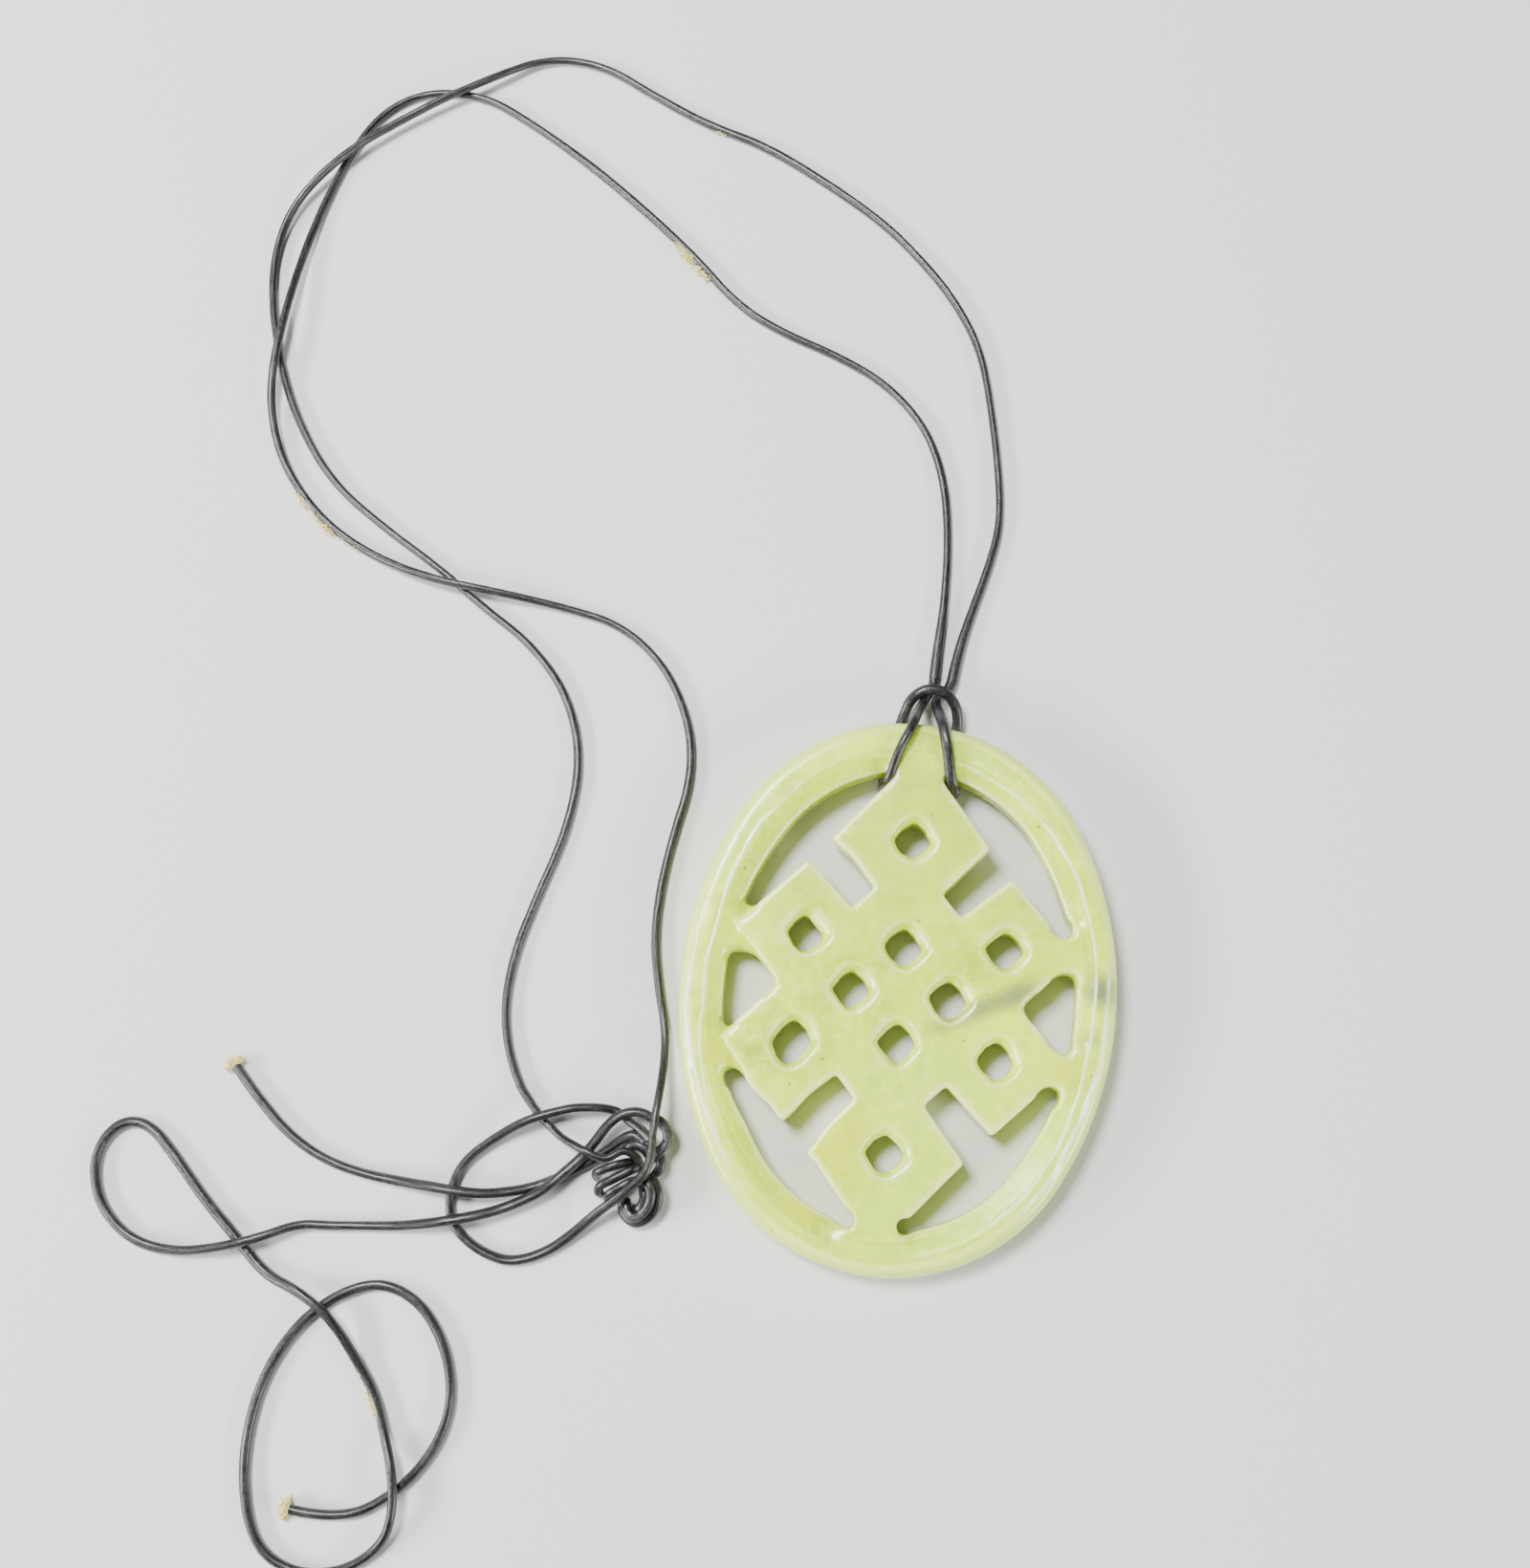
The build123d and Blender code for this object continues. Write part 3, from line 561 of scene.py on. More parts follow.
def pale_jade():
    """Pale yellow-green jade, softly polished: cloudy, with yellow stains and one grey-green vein, painted
    shade on walls and in hollows, and painted highlights on edges and ridges.
    """
    material, tree, shader = new_material("pale_jade")
    place = put(tree, "ShaderNodeTexCoord").outputs["Object"]
    clouds = noise_at(tree, place, 75.0, 5.0, Roughness=0.6, Distortion=0.8)
    drift = noise_at(tree, place, 22.0, 2.0)
    mottle = noise_at(tree, place, 260.0, 4.0, Roughness=0.6)
    fine = noise_at(tree, place, 620.0, 6.0, Roughness=0.65)
    colour = ramp(tree, clouds, CLOUD_SHADES)
    for pattern, low, high, share, tint in (
        (drift, 0.42, 0.64, 0.6, DRIFT_TINT), (mottle, 0.50, 0.70, 0.5, MOTTLE_TINT),
        (fine, 0.45, 0.68, 0.55, FLECK_TINT),
    ):
        colour = blend_colour(tree, spread(tree, pattern, low, high, 0.0, share), colour, tint)
    # faint rings left by the grinding of the outer ring
    oval = put(tree, "ShaderNodeMapping", {"Vector": place, "Scale": OVAL_SHARE}).outputs[0]
    ring_reach = length_of(tree, oval)
    ripple = sums(tree, "ADD", times(tree, ring_reach, 34.0), noise_at(tree, place, 18.0, 1.0))
    lines = put(
        tree, "ShaderNodeTexNoise", {"W": ripple, "Scale": 1.0, "Detail": 3.0}, noise_dimensions="1D"
    ).outputs["Fac"]
    on_ring = spread(tree, ring_reach, 0.80, 0.86)
    for low, high, tint in ((0.5, 0.68, RING_DARK), (0.45, 0.32, RING_PALE)):
        band = times(tree, on_ring, spread(tree, lines, low, high, 0.0, 0.5))
        colour = blend_colour(tree, band, colour, tint)
    # the knot's face is a little darker towards the top, where the cord is
    up = put(tree, "ShaderNodeSeparateXYZ", {0: place}).outputs["Y"]
    off_ring = sums(tree, "SUBTRACT", 1.0, on_ring)
    deep = times(tree, spread(tree, up, -0.012, 0.026, 0.0, 0.5), off_ring)
    colour = blend_colour(tree, deep, colour, KNOT_TOP_DARKER)
    # painted glow: the outer edge, which is thinner, is painted paler as if lit through
    colour = blend_colour(tree, spread(tree, ring_reach, 0.93, 1.01, 0.0, 0.45), colour, RIM_GLOW_TINT)
    # grey-green vein, right of the middle
    stir = put(tree, "ShaderNodeTexNoise", {"Vector": place, "Scale": 260.0, "Detail": 4.0}).outputs["Color"]
    for middle, half, depth in VEIN:
        turned = put(tree, "ShaderNodeMapping", {
            "Vector": place, "Location": [v * MM for v in middle], "Rotation": (0, 0, VEIN_SLOPE),
            "Scale": (half[0] * MM, half[1] * MM, 1.0),
        }, vector_type="TEXTURE").outputs[0]
        far = length_of(tree, blend_colour(tree, 0.22, turned, stir))
        colour = blend_colour(tree, spread(tree, far, 1.0, 0.15, 0.0, depth), colour, VEIN_COLOUR)
    # yellow stains
    for middle, reach, depth in STAINS:
        inputs = {0: place, 1: [v * MM for v in middle]}
        off = put(tree, "ShaderNodeVectorMath", inputs, operation="SUBTRACT").outputs[0]
        band = spread(tree, length_of(tree, off), reach * MM, STAIN_CORE * reach * MM, 0.0, depth)
        band = times(tree, band, spread(tree, clouds, 0.3, 0.6, 0.6, 1.0))
        colour = blend_colour(tree, band, colour, STAIN_COLOUR)
    # painted shade on carved walls and in hollows; edges paler from wear and with a painted highlight; a
    # painted highlight on the ridges
    for name, share, tint in CARVED_SHADE_WEAR_AND_HIGHLIGHT_TINTS:
        mask = put(tree, "ShaderNodeAttribute", attribute_name=name).outputs["Fac"]
        colour = blend_colour(tree, times(tree, mask, share), colour, tint)
    # dark specks, and pale nicks that are partly painted glints
    for scale, wide, narrow, pattern, full, share, tint in (
        (330.0, 0.10, 0.04, noise_at(tree, place, 130.0, 1.0), 0.58, 0.75, SPECK_COLOUR),
        (520.0, 0.075, 0.03, drift, 0.62, 0.6, NICK_AND_GLINT_COLOUR),
    ):
        dots = spread(tree, cells_at(tree, place, scale), wide, narrow)
        dots = times(tree, dots, spread(tree, pattern, 0.50, full))
        colour = blend_colour(tree, times(tree, dots, share), colour, tint)
    tree.links.new(colour, shader.inputs["Base Color"])
    rough = spread(tree, fine, 0.3, 0.7, 0.19, 0.30, smooth=False)
    tree.links.new(rough, shader.inputs["Roughness"])
    height = sums(tree, "ADD", times(tree, fine, 0.5), noise_at(tree, place, 180.0, 3.0))
    bump = put(tree, "ShaderNodeBump", {"Height": height, "Strength": 0.10, "Distance": 0.0003})
    tree.links.new(bump.outputs["Normal"], shader.inputs["Normal"])
    shader.inputs["IOR"].default_value = 1.61
    shader.inputs["Subsurface Weight"].default_value = 0.5
    shader.inputs["Subsurface Radius"].default_value = (1.0, 1.1, 0.4)
    shader.inputs["Subsurface Scale"].default_value = 0.003
    return material


LEATHER = cord_leather()
FIBRE = frayed_fibre()
JADE = pale_jade()

# Width at each millimetre along, where a cord tightens or flattens
STRAND_WIDTHS = ((0, HITCH_WIDTH), (14, STRAND_WIDTH))
LOOP_WIDTHS = ((0, STRAND_WIDTH), (22, TAIL_WIDTH), (56, TAIL_WIDTH), (62, KNOT_WIDTH))
SHORT_TAIL_WIDTHS = ((0, KNOT_WIDTH), (10, TAIL_WIDTH))
LONG_TAIL_WIDTHS = ((0, KNOT_WIDTH), (12, TAIL_WIDTH))


def laid_cord(name, node, route, width, step=STRAND_STEP, seed=0.0):
    """One leather cord in place of its CAD node, and the line that it follows."""
    line = even_steps(smooth_line(route), step)
    bm = fresh_mesh()
    lay_tube(bm, line, width, seed=seed)
    piece = finish_mesh(bm, name, LEATHER)
    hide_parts(node)
    return piece, line


# The hitch and the five other cords
hitch, hitch_line = laid_cord(
    "hitch_cord", "cord_hitch", HITCH, ((0, HITCH_WIDTH),), step=KNOT_STEP, seed=11.0
)
outer, outer_line = laid_cord("outer_strand", "neck_strand_outer", OUTER_STRAND, STRAND_WIDTHS, seed=23.0)
inner, inner_line = laid_cord("inner_strand", "neck_strand_inner", INNER_STRAND, STRAND_WIDTHS, seed=37.0)
loop, loop_line = laid_cord(
    "loop_cord", "knot_loop", KNOT_LOOP, LOOP_WIDTHS, step=LOOP_STEP, seed=41.0
)
short_tail, short_line = laid_cord(
    "tail_short_cord", "tail_short", SHORT_TAIL, SHORT_TAIL_WIDTHS, step=LOOP_STEP, seed=53.0
)
long_tail, long_line = laid_cord("tail_long_cord", "tail_long", LONG_TAIL, LONG_TAIL_WIDTHS, seed=67.0)

# The tied knot's turns narrow over the last millimetre, out of sight in the knot
TURN_END_WIDTH = 0.9
TURN_FADE = 1.0
TURN_FLATNESS = 0.09
TURN_SEED = 80.0
wraps = fresh_mesh()
for number, route in enumerate(KNOT_WRAPS.values()):
    turn_line = even_steps(smooth_line(route), KNOT_STEP)
    reach = line_length(turn_line) / MM
    lay_tube(
        wraps, turn_line,
        (
            (0, TURN_END_WIDTH), (TURN_FADE, KNOT_WIDTH), (reach - TURN_FADE, KNOT_WIDTH),
            (reach, TURN_END_WIDTH),
        ),
        seed=TURN_SEED + 7 * number, squash=TURN_FLATNESS,
    )
knot = finish_mesh(wraps, "knot_turns", LEATHER)
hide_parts("cord_knot")


# Frayed ends and worn spots, in millimetres
FIBRES_PER_TIP = 170
FIBRE_WIDTH = 0.16
TIP_FIBRE_WIDTH = 0.21
FIBRE_POINT = 0.55
FIBRE_SIDES = 5
FIBRE_STEPS = 5
FIBRE_CURL = 0.55
FIBRE_FLOOR = 0.08
TIP_REACH = 1.6
TIP_OPENING = 1.15
TIP_CORE = 0.55
TIP_BEND = 1.8
TIP_SINK = 0.05
SEED_SPIN = 0.381966
WORN_BEND = 4


def fibre(bm, start, way, bend, size, width, seed):
    """One fine curly fibre, size millimetres long, that leaves along way and wanders off."""
    middle = start + way * (size * 0.5 * MM)
    tip = middle + (way + bend).normalized() * (size * 0.5 * MM)
    line = []
    for k in range(FIBRE_STEPS + 1):
        share = k / FIBRE_STEPS
        point = start.lerp(middle, share).lerp(middle.lerp(tip, share), share)
        point += noise.noise_vector((seed * 1.7, share * 3.1, 0.4)) * (FIBRE_CURL * share * size * MM)
        point.z = max(point.z, FIBRE_FLOOR * MM)
        line.append(point)
    widths = ((0, width), (size, width * FIBRE_POINT))
    lay_tube(bm, line, widths, sides=FIBRE_SIDES, uneven=0.0, squash=0.0, seed=seed)


def stray(k, seed, droop=0.0):
    """The way in which one fibre bends off."""
    return Vector((
        noise.noise((k, seed, 7.1)), noise.noise((k, seed, 9.3)), noise.noise((k, seed, 4.4)) - droop
    ))


def burst(bm, base, ahead, count, reach, seed):
    """Fibres that spring from a cut end and splay round it."""
    side = ahead.orthogonal().normalized()
    over = ahead.cross(side)
    for k in range(count):
        share = math.sqrt((k + 0.5) / count)
        spin = math.tau * (k * SEED_SPIN + 0.07 * noise.noise((k, seed, 0.5)))
        tilt = TIP_OPENING * share
        outward = side * math.cos(spin) + over * math.sin(spin)
        start = base + outward * (TIP_CORE * MM * share)
        way = (ahead * math.cos(tilt) + outward * math.sin(tilt)).normalized()
        size = reach * (0.62 + 0.5 * noise.noise((seed, k * 1.7, 2.2)) + 0.2 * math.cos(tilt))
        fibre(bm, start, way, stray(k, seed) * TIP_BEND, size, TIP_FIBRE_WIDTH, seed + k)


def frayed_tip(name, node, line, seed):
    """The tuft of raw core at a tail's cut end."""
    bm = fresh_mesh()
    ahead = (line[-1] - line[-3]).normalized()
    burst(bm, line[-1] - ahead * (TIP_SINK * MM), ahead, FIBRES_PER_TIP, TIP_REACH, seed)
    tip = finish_mesh(bm, name, FIBRE)
    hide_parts(node)
    return tip


def worn_fibres(name, line, radius, clumps, seed):
    """Short fibres that stand out of a cord where its skin has worn through."""
    bm = fresh_mesh()
    for number, (x, y, reach, count, size) in enumerate(clumps):
        spot = Vector((x, y, 0)) * MM
        middle = min(range(len(line)), key=lambda k: (line[k].xy - spot.xy).length)
        for k in range(count):
            step = round(reach / STRAND_STEP * (2 * (k + 0.5) / count - 1))
            at = max(1, min(len(line) - 2, middle + step))
            ahead = (line[at + 1] - line[at - 1]).normalized()
            outward = UP.cross(ahead).normalized()
            if outward.dot(spot - line[middle]) < 0:
                outward = -outward
            rise = 1.3 * noise.noise((k * 1.3, seed, number)) + 0.1
            start = line[at] + (outward * math.cos(rise) + UP * math.sin(rise)) * (radius * 0.92 * MM)
            way = outward * 0.8 + ahead * 2.6 * noise.noise((k * 0.9, seed, 5.0)) + UP * (0.4 + 0.9 * rise)
            bend = stray(k, seed, droop=0.2) * WORN_BEND
            length = size * (0.7 + 0.9 * noise.noise((k * 2.3, seed, 6.0)))
            fibre(bm, start, way.normalized(), bend, length, FIBRE_WIDTH, seed + k)
    piece = finish_mesh(bm, name, FIBRE)
    return piece


short_tip = frayed_tip("frayed_tip_short", "frayed_end_short", short_line, 5.0)
long_tip = frayed_tip("frayed_tip_long", "frayed_end_long", long_line, 9.0)

# Clumps of fibres beside the cord
OUTER_CLUMPS = (
    # across, along, reach along the cord, count, fibre length
    (-41.0, 131.5, 0.7, 14, 0.6),
)
INNER_CLUMPS = (
    (-45.6, 111.9, 0.8, 10, 0.9), (-43.8, 109.9, 1.0, 44, 1.6), (-41.3, 107.6, 1.2, 46, 1.5),
    (-97.0, 65.5, 1.2, 26, 1.1), (-94.5, 62.8, 1.2, 18, 1.0), (-92.8, 60.9, 1.0, 30, 1.4),
    (-89.5, 58.2, 2.2, 16, 0.6),
)
TAIL_CLUMPS = ((-65.8, -62.5, 1.6, 50, 0.8), (-67.6, -58.5, 2.4, 20, 0.5))
outer_fibres = worn_fibres("worn_fibres_outer", outer_line, STRAND_WIDTH / 2, OUTER_CLUMPS, 3.0)
inner_fibres = worn_fibres("worn_fibres_inner", inner_line, STRAND_WIDTH / 2, INNER_CLUMPS, 6.0)
tail_fibres = worn_fibres("worn_fibres_tail", long_line, TAIL_WIDTH / 2, TAIL_CLUMPS, 8.0)


# The stone's skin: the even faces' size in millimetres, passes that round it, and the share kept at the end
VOXEL = 0.26
SMOOTH_PASSES = 3
KEPT_SHARE = 0.38

# The whole stone: half width and half length, and the height and slope of the knot's face
OVAL_HALF = (30.2, 38.3)
FACE_AT_MIDDLE = 6.24
FACE_SLOPE = 0.0232

# Where knot and ring meet by a low bridge
JUNCTIONS = (
    # across, along, share filled, all within, none beyond, shares of the oval between which it ends
    (0.3, 33.0, 1.0, 3.4, 6.5, 0.91, 0.95), (-0.4, -33.6, 1.0, 3.4, 6.5, 0.91, 0.95),
    (24.2, 7.4, 1.0, 2.8, 5.6, 0.865, 0.90), (24.2, -8.6, 1.0, 2.8, 5.6, 0.865, 0.90),
    (-24.2, 6.6, 0.5, 1.6, 3.8, 0.865, 0.90), (-24.2, -10.4, 0.5, 1.6, 3.8, 0.865, 0.90),
)
BRIDGE_DROP = 1.3
FILL_DEPTH = 1.6
BLEND_PASSES = 10
ROUNDED_SPOTS = (
    # across, along, reach
    (0.3, 32.5, 4.6), (-0.4, -32.8, 4.6), (23.4, 7.4, 4.8), (23.4, -8.8, 4.8), (-23.4, 6.4, 4.8),
    (-23.6, -10.6, 4.8), (-16.8, -0.5, 2.8), (17.4, -0.5, 2.8), (-20.0, 3.6, 3.2), (-11.4, -21.2, 2.6),
)
ROUND_PASSES = 45
RELAX_PASSES = 6

# The small filed holes
HOLE_CENTRES = (
    (0.3, 21.1), (-13.6, 7.1), (14.2, 7.1), (0.3, 6.1), (-6.4, -0.5), (7, -0.5), (0.3, -7.1),
    (-13.6, -8.1), (14.2, -8.1), (0.3, -22.1),
)
HOLE_REACH = (3.2, 4.6)
HOLE_WANDER = 0.26
HOLE_WAVES = 0.95
HOLE_ROUNDING = 0.08
HOLE_WIDER = 0.24
MOUTH_LEAN = (0.34, 0.30)
MOUTH_DEPTH = 1.5

# Edges, worn pale and with a painted highlight, and hollows with painted shade, by how far the skin stands
# out, and the uneven grinding
EDGE_BLUR = 2
EDGE_START = 0.003
EDGE_SPAN = 0.012
HOLLOW_START = 0.002
HOLLOW_SPAN = 0.010
EDGE_GAIN = 2.0
EDGE_MOST = 0.05
WALL_GAIN = 1.08
GROUND_SWELL = 0.05
GROUND_RIPPLE = 0.009

# Places where the hand-cut outline leaves the even pattern
HAND_SHIFTS = (
    # across, along, reach, shift across, shift along
    (-17.5, -12.5, 8.5, -0.7, -1.2), (-12.0, -20.0, 5.5, 0.0, -1.5), (-13.0, 8.0, 8.0, 0.0, -0.7),
    (-10.5, 22.0, 5.0, -0.6, -0.7), (0.5, -7.0, 5.0, 0.5, 0.0),
)
BORED_ENDS = (
    # across, along, radius
    (-3.9, -31.2, 1.0), (3.9, -31.2, 1.0), (22.1, 11.0, 1.0), (21.9, -12.1, 1.0), (-21.3, -13.9, 1.0),
)
BORE_REACH = 3.2
CALM_SPOTS = (
    # across, along, reach
    (-5.9, -33.2, 2.0), (24.4, 11.3, 1.8),
)
CALM_ABOVE = 2.5
CALM_PASSES = 14

# Bright ridges along the ring, their brightness a painted highlight on a raised bead. The two wide ones are
# the ground rim.
RIDGES = (
    # half width, places across and along
    (0.17, (
        (-13, 30.2, 0), (-19.8, 24.3, 0), (-23.2, 17.4, 0), (-25.4, 10.3, 0), (-26.4, 2.1, 0),
        (-26.7, -5.9, 0), (-25.9, -11.5, 0), (-24.7, -17, 0), (-21.5, -24, 0),
    )),
    (0.17, (
        (3, 33.6, 0), (10.9, 31.3, 0), (18, 25.8, 0), (22.6, 19.9, 0), (26, 11.5, 0), (27.1, 5, 0),
        (27, -2.9, 0), (25.9, -10.8, 0), (23.6, -18.9, 0), (18.2, -28, 0), (11, -33, 0),
    )),
    (0.34, (
        (-27.7, 10.5, 0), (-28.4, 4.0, 0), (-28.7, 0.5, 0), (-28.7, -3.5, 0), (-28.3, -7.4, 0),
        (-27.5, -10.9, 0), (-26.2, -14.8, 0), (-24.4, -19.0, 0), (-21.8, -23.8, 0), (-18.3, -28.5, 0),
    )),
    (0.26, (
        (28.2, 9.0, 0), (28.8, 4.0, 0), (28.8, -1.9, 0), (28.3, -6.6, 0), (27.3, -11.4, 0),
        (25.7, -16.4, 0), (23.6, -21.3, 0), (20.9, -26.0, 0), (17.5, -30.0, 0),
    )),
)
RIDGE_STEP = 0.3
RIDGE_REACH = (0.8, 0.4)
RIDGE_WANDER = 0.35
RIDGE_LIFT = 0.11
RIDGE_FADE = 9.0
FACES_UP = 0.5


def even_copy(source):
    """The CAD solid's skin in small even faces."""
    bm = bmesh.new()
    bm.from_mesh(source.data)
    bmesh.ops.remove_doubles(bm, verts=bm.verts, dist=1e-7)
    skin = bpy.data.meshes.new("stone_skin")
    bm.to_mesh(skin)
    bm.free()
    carrier = bpy.data.objects.new("stone_skin", skin)
    bpy.context.scene.collection.objects.link(carrier)
    remesh = carrier.modifiers.new("even_faces", "REMESH")
    remesh.mode = "VOXEL"
    remesh.voxel_size = VOXEL * MM
    graph = bpy.context.evaluated_depsgraph_get()
    even = bpy.data.meshes.new_from_object(carrier.evaluated_get(graph))
    bpy.data.objects.remove(carrier)
    bpy.data.meshes.remove(skin)
    bm = bmesh.new()
    bm.from_mesh(even)
    bpy.data.meshes.remove(even)
    return bm


def ease(bm, verts, passes, axes="XYZ"):
    """Smooths the given points, along the given axes only."""
    for _ in range(passes):
        bmesh.ops.smooth_vert(
            bm, verts=verts, factor=0.5,
            use_axis_x="X" in axes, use_axis_y="Y" in axes, use_axis_z="Z" in axes,
        )


def points_round(bm, x, y, reach, above=-math.inf):
    """The skin's points within reach of a place, and higher than above."""
    return [
        v for v in bm.verts
        if v.co.z > above * MM and math.hypot(v.co.x / MM - x, v.co.y / MM - y) < reach
    ]


def blend_corners(bm):
    """Low bridges rise to meet knot and ring: level on the right and at the ends, half way on the left."""
    for x, y, share, full, reach, low, high in JUNCTIONS:
        near = []
        for v in bm.verts:
            px, py, pz = v.co / MM
            far = math.hypot(px - x, py - y)
            if far > reach + 1:
                continue
            below = FACE_AT_MIDDLE + FACE_SLOPE * py - pz
            if below < BRIDGE_DROP + FILL_DEPTH:
                near.append(v)
            hold = 1 - between(((full, 0.0), (reach, 1.0)), far)
            hold *= share * hold * (3 - 2 * hold)
            oval = math.hypot(px / OVAL_HALF[0], py / OVAL_HALF[1])
            hold *= 1 - between(((low, 0.0), (high, 1.0)), oval)
            if below > BRIDGE_DROP:
                below = BRIDGE_DROP * max(0.0, 1 - (below - BRIDGE_DROP) / FILL_DEPTH)
            v.co.z += hold * max(0.0, below) * MM
        ease(bm, near, BLEND_PASSES, "Z")
    for x, y, reach in ROUNDED_SPOTS:
        near = points_round(bm, x, y, reach)
        ease(bm, near, ROUND_PASSES, "XY")
        ease(bm, near, RELAX_PASSES)


def file_holes(bm):
    """Each small hole's outline wanders a little, and its mouth leans to the upper right, as if filed."""
    inner, outer = HOLE_REACH
    for v in bm.verts:
        x, y, z = v.co / MM
        for number, (cx, cy) in enumerate(HOLE_CENTRES):
            dx, dy = x - cx, y - cy
            r = math.hypot(dx, dy)
            if r < outer:
                hold = 1.0 if r < inner else (outer - r) / (outer - inner)
                hold = hold * hold * (3 - 2 * hold)
                a = math.atan2(dy, dx)
                spot = (HOLE_WAVES * math.cos(a) + 9 * number, HOLE_WAVES * math.sin(a), 0.5)
                wander = noise.noise(spot)
                push = HOLE_WIDER + HOLE_WANDER * wander - HOLE_ROUNDING * math.cos(4 * a)
                up = max(0.0, 1 - (FACE_AT_MIDDLE + FACE_SLOPE * y - z) / MOUTH_DEPTH)
                up *= 0.75 + 0.9 * noise.noise((2.7 * number, 0.4, 6.0))
                v.co.x += hold * (dx / max(r, 0.5) * push + MOUTH_LEAN[0] * up) * MM
                v.co.y += hold * (dy / max(r, 0.5) * push + MOUTH_LEAN[1] * up) * MM
                break


def shift_by_hand(bm):
    """Moves a few corners of the knot to where the carver left them."""
    for v in bm.verts:
        across = along = 0.0
        for x, y, reach, right, up in HAND_SHIFTS:
            far = math.hypot(v.co.x / MM - x, v.co.y / MM - y) / reach
            if far < 1:
                hold = (1 - far * far) ** 2
                across += hold * right
                along += hold * up
        v.co.x += across * MM
        v.co.y += along * MM


def open_ends(bm):
    """The long openings end round, as bored before they were sawn."""
    for v in bm.verts:
        for x, y, radius in BORED_ENDS:
            dx, dy = v.co.x / MM - x, v.co.y / MM - y
            r = math.hypot(dx, dy)
            if r < BORE_REACH:
                wide = math.hypot(r, radius * (1 - (r / BORE_REACH) ** 2))
                v.co.x = (x + dx * wide / max(r, 0.01)) * MM
                v.co.y = (y + dy * wide / max(r, 0.01)) * MM
                break


def raise_ridges(bm):
    """Fine raised ridges that run along the ring, in closer faces than the rest, marked for a painted
    highlight.
    """
    ridge_highlight = bm.verts.layers.float.new("ridge_highlight")
    for number, (half_width, route) in enumerate(RIDGES):
        line = even_steps(smooth_line(route), RIDGE_STEP)
        length = line_length(line) / MM
        tree = kdtree.KDTree(len(line))
        for k, point in enumerate(line):
            stray = RIDGE_WANDER * MM * noise.noise((k * 0.05, number, 4.0))
            tree.insert((point.x + stray, point.y, 0), k)
        tree.balance()
        for reach in RIDGE_REACH:
            bm.normal_update()
            band = {
                v for v in bm.verts
                if v.normal.z > FACES_UP and tree.find((v.co.x, v.co.y, 0))[2] < reach * MM
            }
            edges = [e for e in bm.edges if e.verts[0] in band or e.verts[1] in band]
            bmesh.ops.subdivide_edges(bm, edges=edges, cuts=1, use_grid_fill=True)
            bmesh.ops.triangulate(bm, faces=[f for f in bm.faces if len(f.verts) > 3])
        bm.normal_update()
        for v in bm.verts:
            _, k, far = tree.find((v.co.x, v.co.y, 0))
            if v.normal.z < FACES_UP or far > RIDGE_REACH[0] * MM:
                continue
            at = length * k / len(line)
            wavy = noise.noise((at * 0.35, 2.0, 0.3))
            crest = math.exp(-((far / MM / half_width) ** 2))
            ends = max(0.0, min(1.0, at / RIDGE_FADE, (length - at) / RIDGE_FADE))
            crest *= ends * (0.8 + 0.7 * wavy)
            v.co.z += RIDGE_LIFT * crest * MM
            # the crest is painted bright: a painted highlight along the ridge
            v[ridge_highlight] = max(v[ridge_highlight], min(1.0, 1.3 * crest))


def sharpen_edges(bm):
    """Marks the edges, paler from wear and with a painted highlight, the hollows and walls for painted shade,
    and lifts the edges a hair so that they catch the light.
    """
    edge = bm.verts.layers.float.new("edge")
    hollow_shade = bm.verts.layers.float.new("hollow_shade")
    wall_shade = bm.verts.layers.float.new("wall_shade")
    bm.normal_update()
    bm.verts.index_update()
    around = [[e.other_vert(v).index for e in v.link_edges] for v in bm.verts]
    places = [v.co.copy() for v in bm.verts]
    bulges = [
        (places[k] - sum((places[n] for n in ring), Vector()) / len(ring)).dot(v.normal) / MM
        for k, (v, ring) in enumerate(zip(bm.verts, around))
    ]
    for _ in range(EDGE_BLUR):
        bulges = [
            0.4 * bulges[k] + 0.6 * sum(bulges[n] for n in ring) / len(ring)
            for k, ring in enumerate(around)
        ]
    for v, bulge in zip(bm.verts, bulges):
        p = v.co / MM
        wavy = 0.75 + 0.8 * noise.noise(p * 0.5)
        # edges: paler from wear, and the paleness is also a painted highlight
        v[edge] = max(0.0, min(1.0, (bulge - EDGE_START) / EDGE_SPAN))
        # hollows: painted shade, darker where the skin dips in
        v[hollow_shade] = max(0.0, min(1.0, (-bulge - HOLLOW_START) / HOLLOW_SPAN))
        # walls: painted shade, darker the more the face turns from up
        v[wall_shade] = 1.0 - min(1.0, abs(v.normal.z) * WALL_GAIN)
        ripple = GROUND_RIPPLE * noise.noise(p * 0.55 + Vector((7, 3, 1)))
        swell = GROUND_SWELL * noise.noise(p * 0.16) + ripple
        lift = EDGE_GAIN * wavy * max(0.0, min(EDGE_MOST, bulge - EDGE_START))
        v.co = v.co + v.normal * ((swell + lift) * MM)


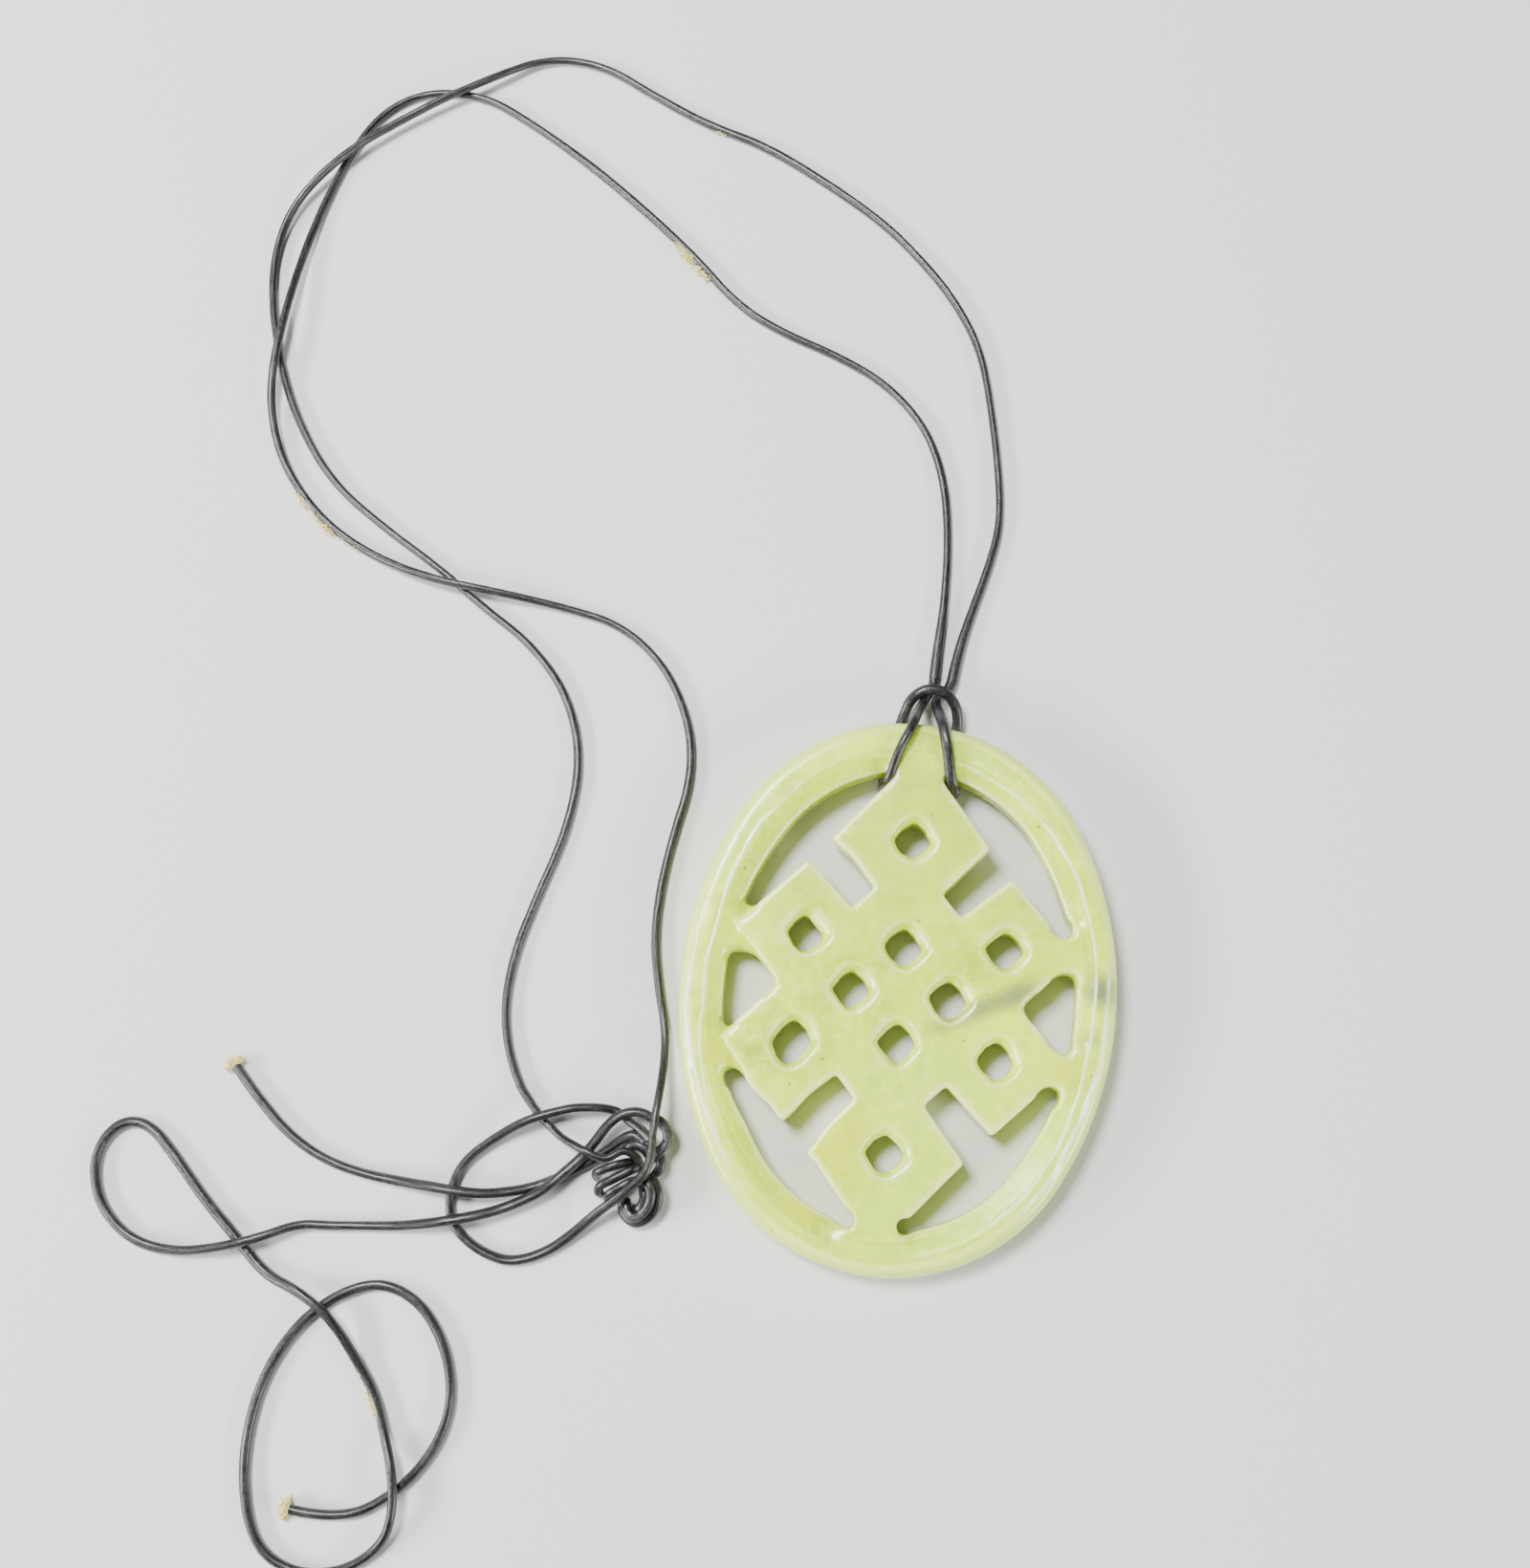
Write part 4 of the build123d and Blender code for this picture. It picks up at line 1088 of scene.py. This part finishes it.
def carved_stone():
    """The knot and its ring, with edges worn round and faces slightly uneven, as ground by hand."""
    bm = even_copy(bpy.data.objects["jade_pendant"])
    ease(bm, bm.verts, SMOOTH_PASSES)
    blend_corners(bm)
    file_holes(bm)
    sharpen_edges(bm)
    shift_by_hand(bm)
    open_ends(bm)
    for x, y, reach in CALM_SPOTS:
        ease(bm, points_round(bm, x, y, reach, CALM_ABOVE), CALM_PASSES)
    stone = finish_mesh(bm, "jade_stone", JADE)
    thin = stone.modifiers.new("fewer_faces", "DECIMATE")
    thin.ratio = KEPT_SHARE
    graph = bpy.context.evaluated_depsgraph_get()
    kept = bpy.data.meshes.new_from_object(stone.evaluated_get(graph))
    stone.modifiers.clear()
    old = stone.data
    stone.data = kept
    bpy.data.meshes.remove(old)
    kept.name = "jade_stone"
    bm = bmesh.new()
    bm.from_mesh(kept)
    raise_ridges(bm)
    bmesh.ops.triangulate(bm, faces=bm.faces)
    for face in bm.faces:
        face.smooth = True
    bm.to_mesh(kept)
    bm.free()
    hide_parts("jade_pendant")
    return stone


carved_stone()

# Floor and light
FLOOR_SIZE = 6.0
FLOOR_COLOUR = (0.68, 0.68, 0.67, 1)
FLOOR_ROUGHNESS = 0.8
LAMPS = (
    # name, place, aim, width and height, watts
    ("window_light", (-0.36, 0.26, 0.87), (-0.03, 0.02, 0), (0.32, 0.32), 17.0),
    ("left_light", (-0.75, -0.24, 0.34), (-0.03, 0.0, 0), (0.7, 0.13), 13.0),
    ("right_light", (0.75, -0.30, 0.34), (-0.03, 0.0, 0), (0.6, 0.12), 8.0),
)
SKY_COLOUR = (0.9, 0.93, 1.0, 1)
SKY_STRENGTH = 0.18


def pale_floor():
    """The plain floor under the necklace, for the picture only."""
    bm = bmesh.new()
    bmesh.ops.create_grid(bm, x_segments=1, y_segments=1, size=FLOOR_SIZE / 2)
    mesh = bpy.data.meshes.new("floor")
    bm.to_mesh(mesh)
    bm.free()
    material, _, shader = new_material("pale_floor")
    shader.inputs["Base Color"].default_value = FLOOR_COLOUR
    shader.inputs["Roughness"].default_value = FLOOR_ROUGHNESS
    mesh.materials.append(material)
    floor = bpy.data.objects.new("floor", mesh)
    bpy.context.scene.collection.objects.link(floor)


def soft_lamp(name, place, aim, size, power):
    """An oval lamp that faces its aim."""
    data = bpy.data.lights.new(name, "AREA")
    data.shape = "ELLIPSE"
    data.size, data.size_y = size
    data.energy = power
    lamp = bpy.data.objects.new(name, data)
    lamp.location = place
    lamp.rotation_mode = "QUATERNION"
    lamp.rotation_quaternion = (Vector(aim) - Vector(place)).to_track_quat("-Z", "Y")
    bpy.context.scene.collection.objects.link(lamp)


pale_floor()
for row in LAMPS:
    soft_lamp(*row)
world = bpy.data.worlds.new("studio")
world.use_nodes = True
sky = world.node_tree.nodes["Background"]
sky.inputs["Color"].default_value = SKY_COLOUR
sky.inputs["Strength"].default_value = SKY_STRENGTH
bpy.context.scene.world = world
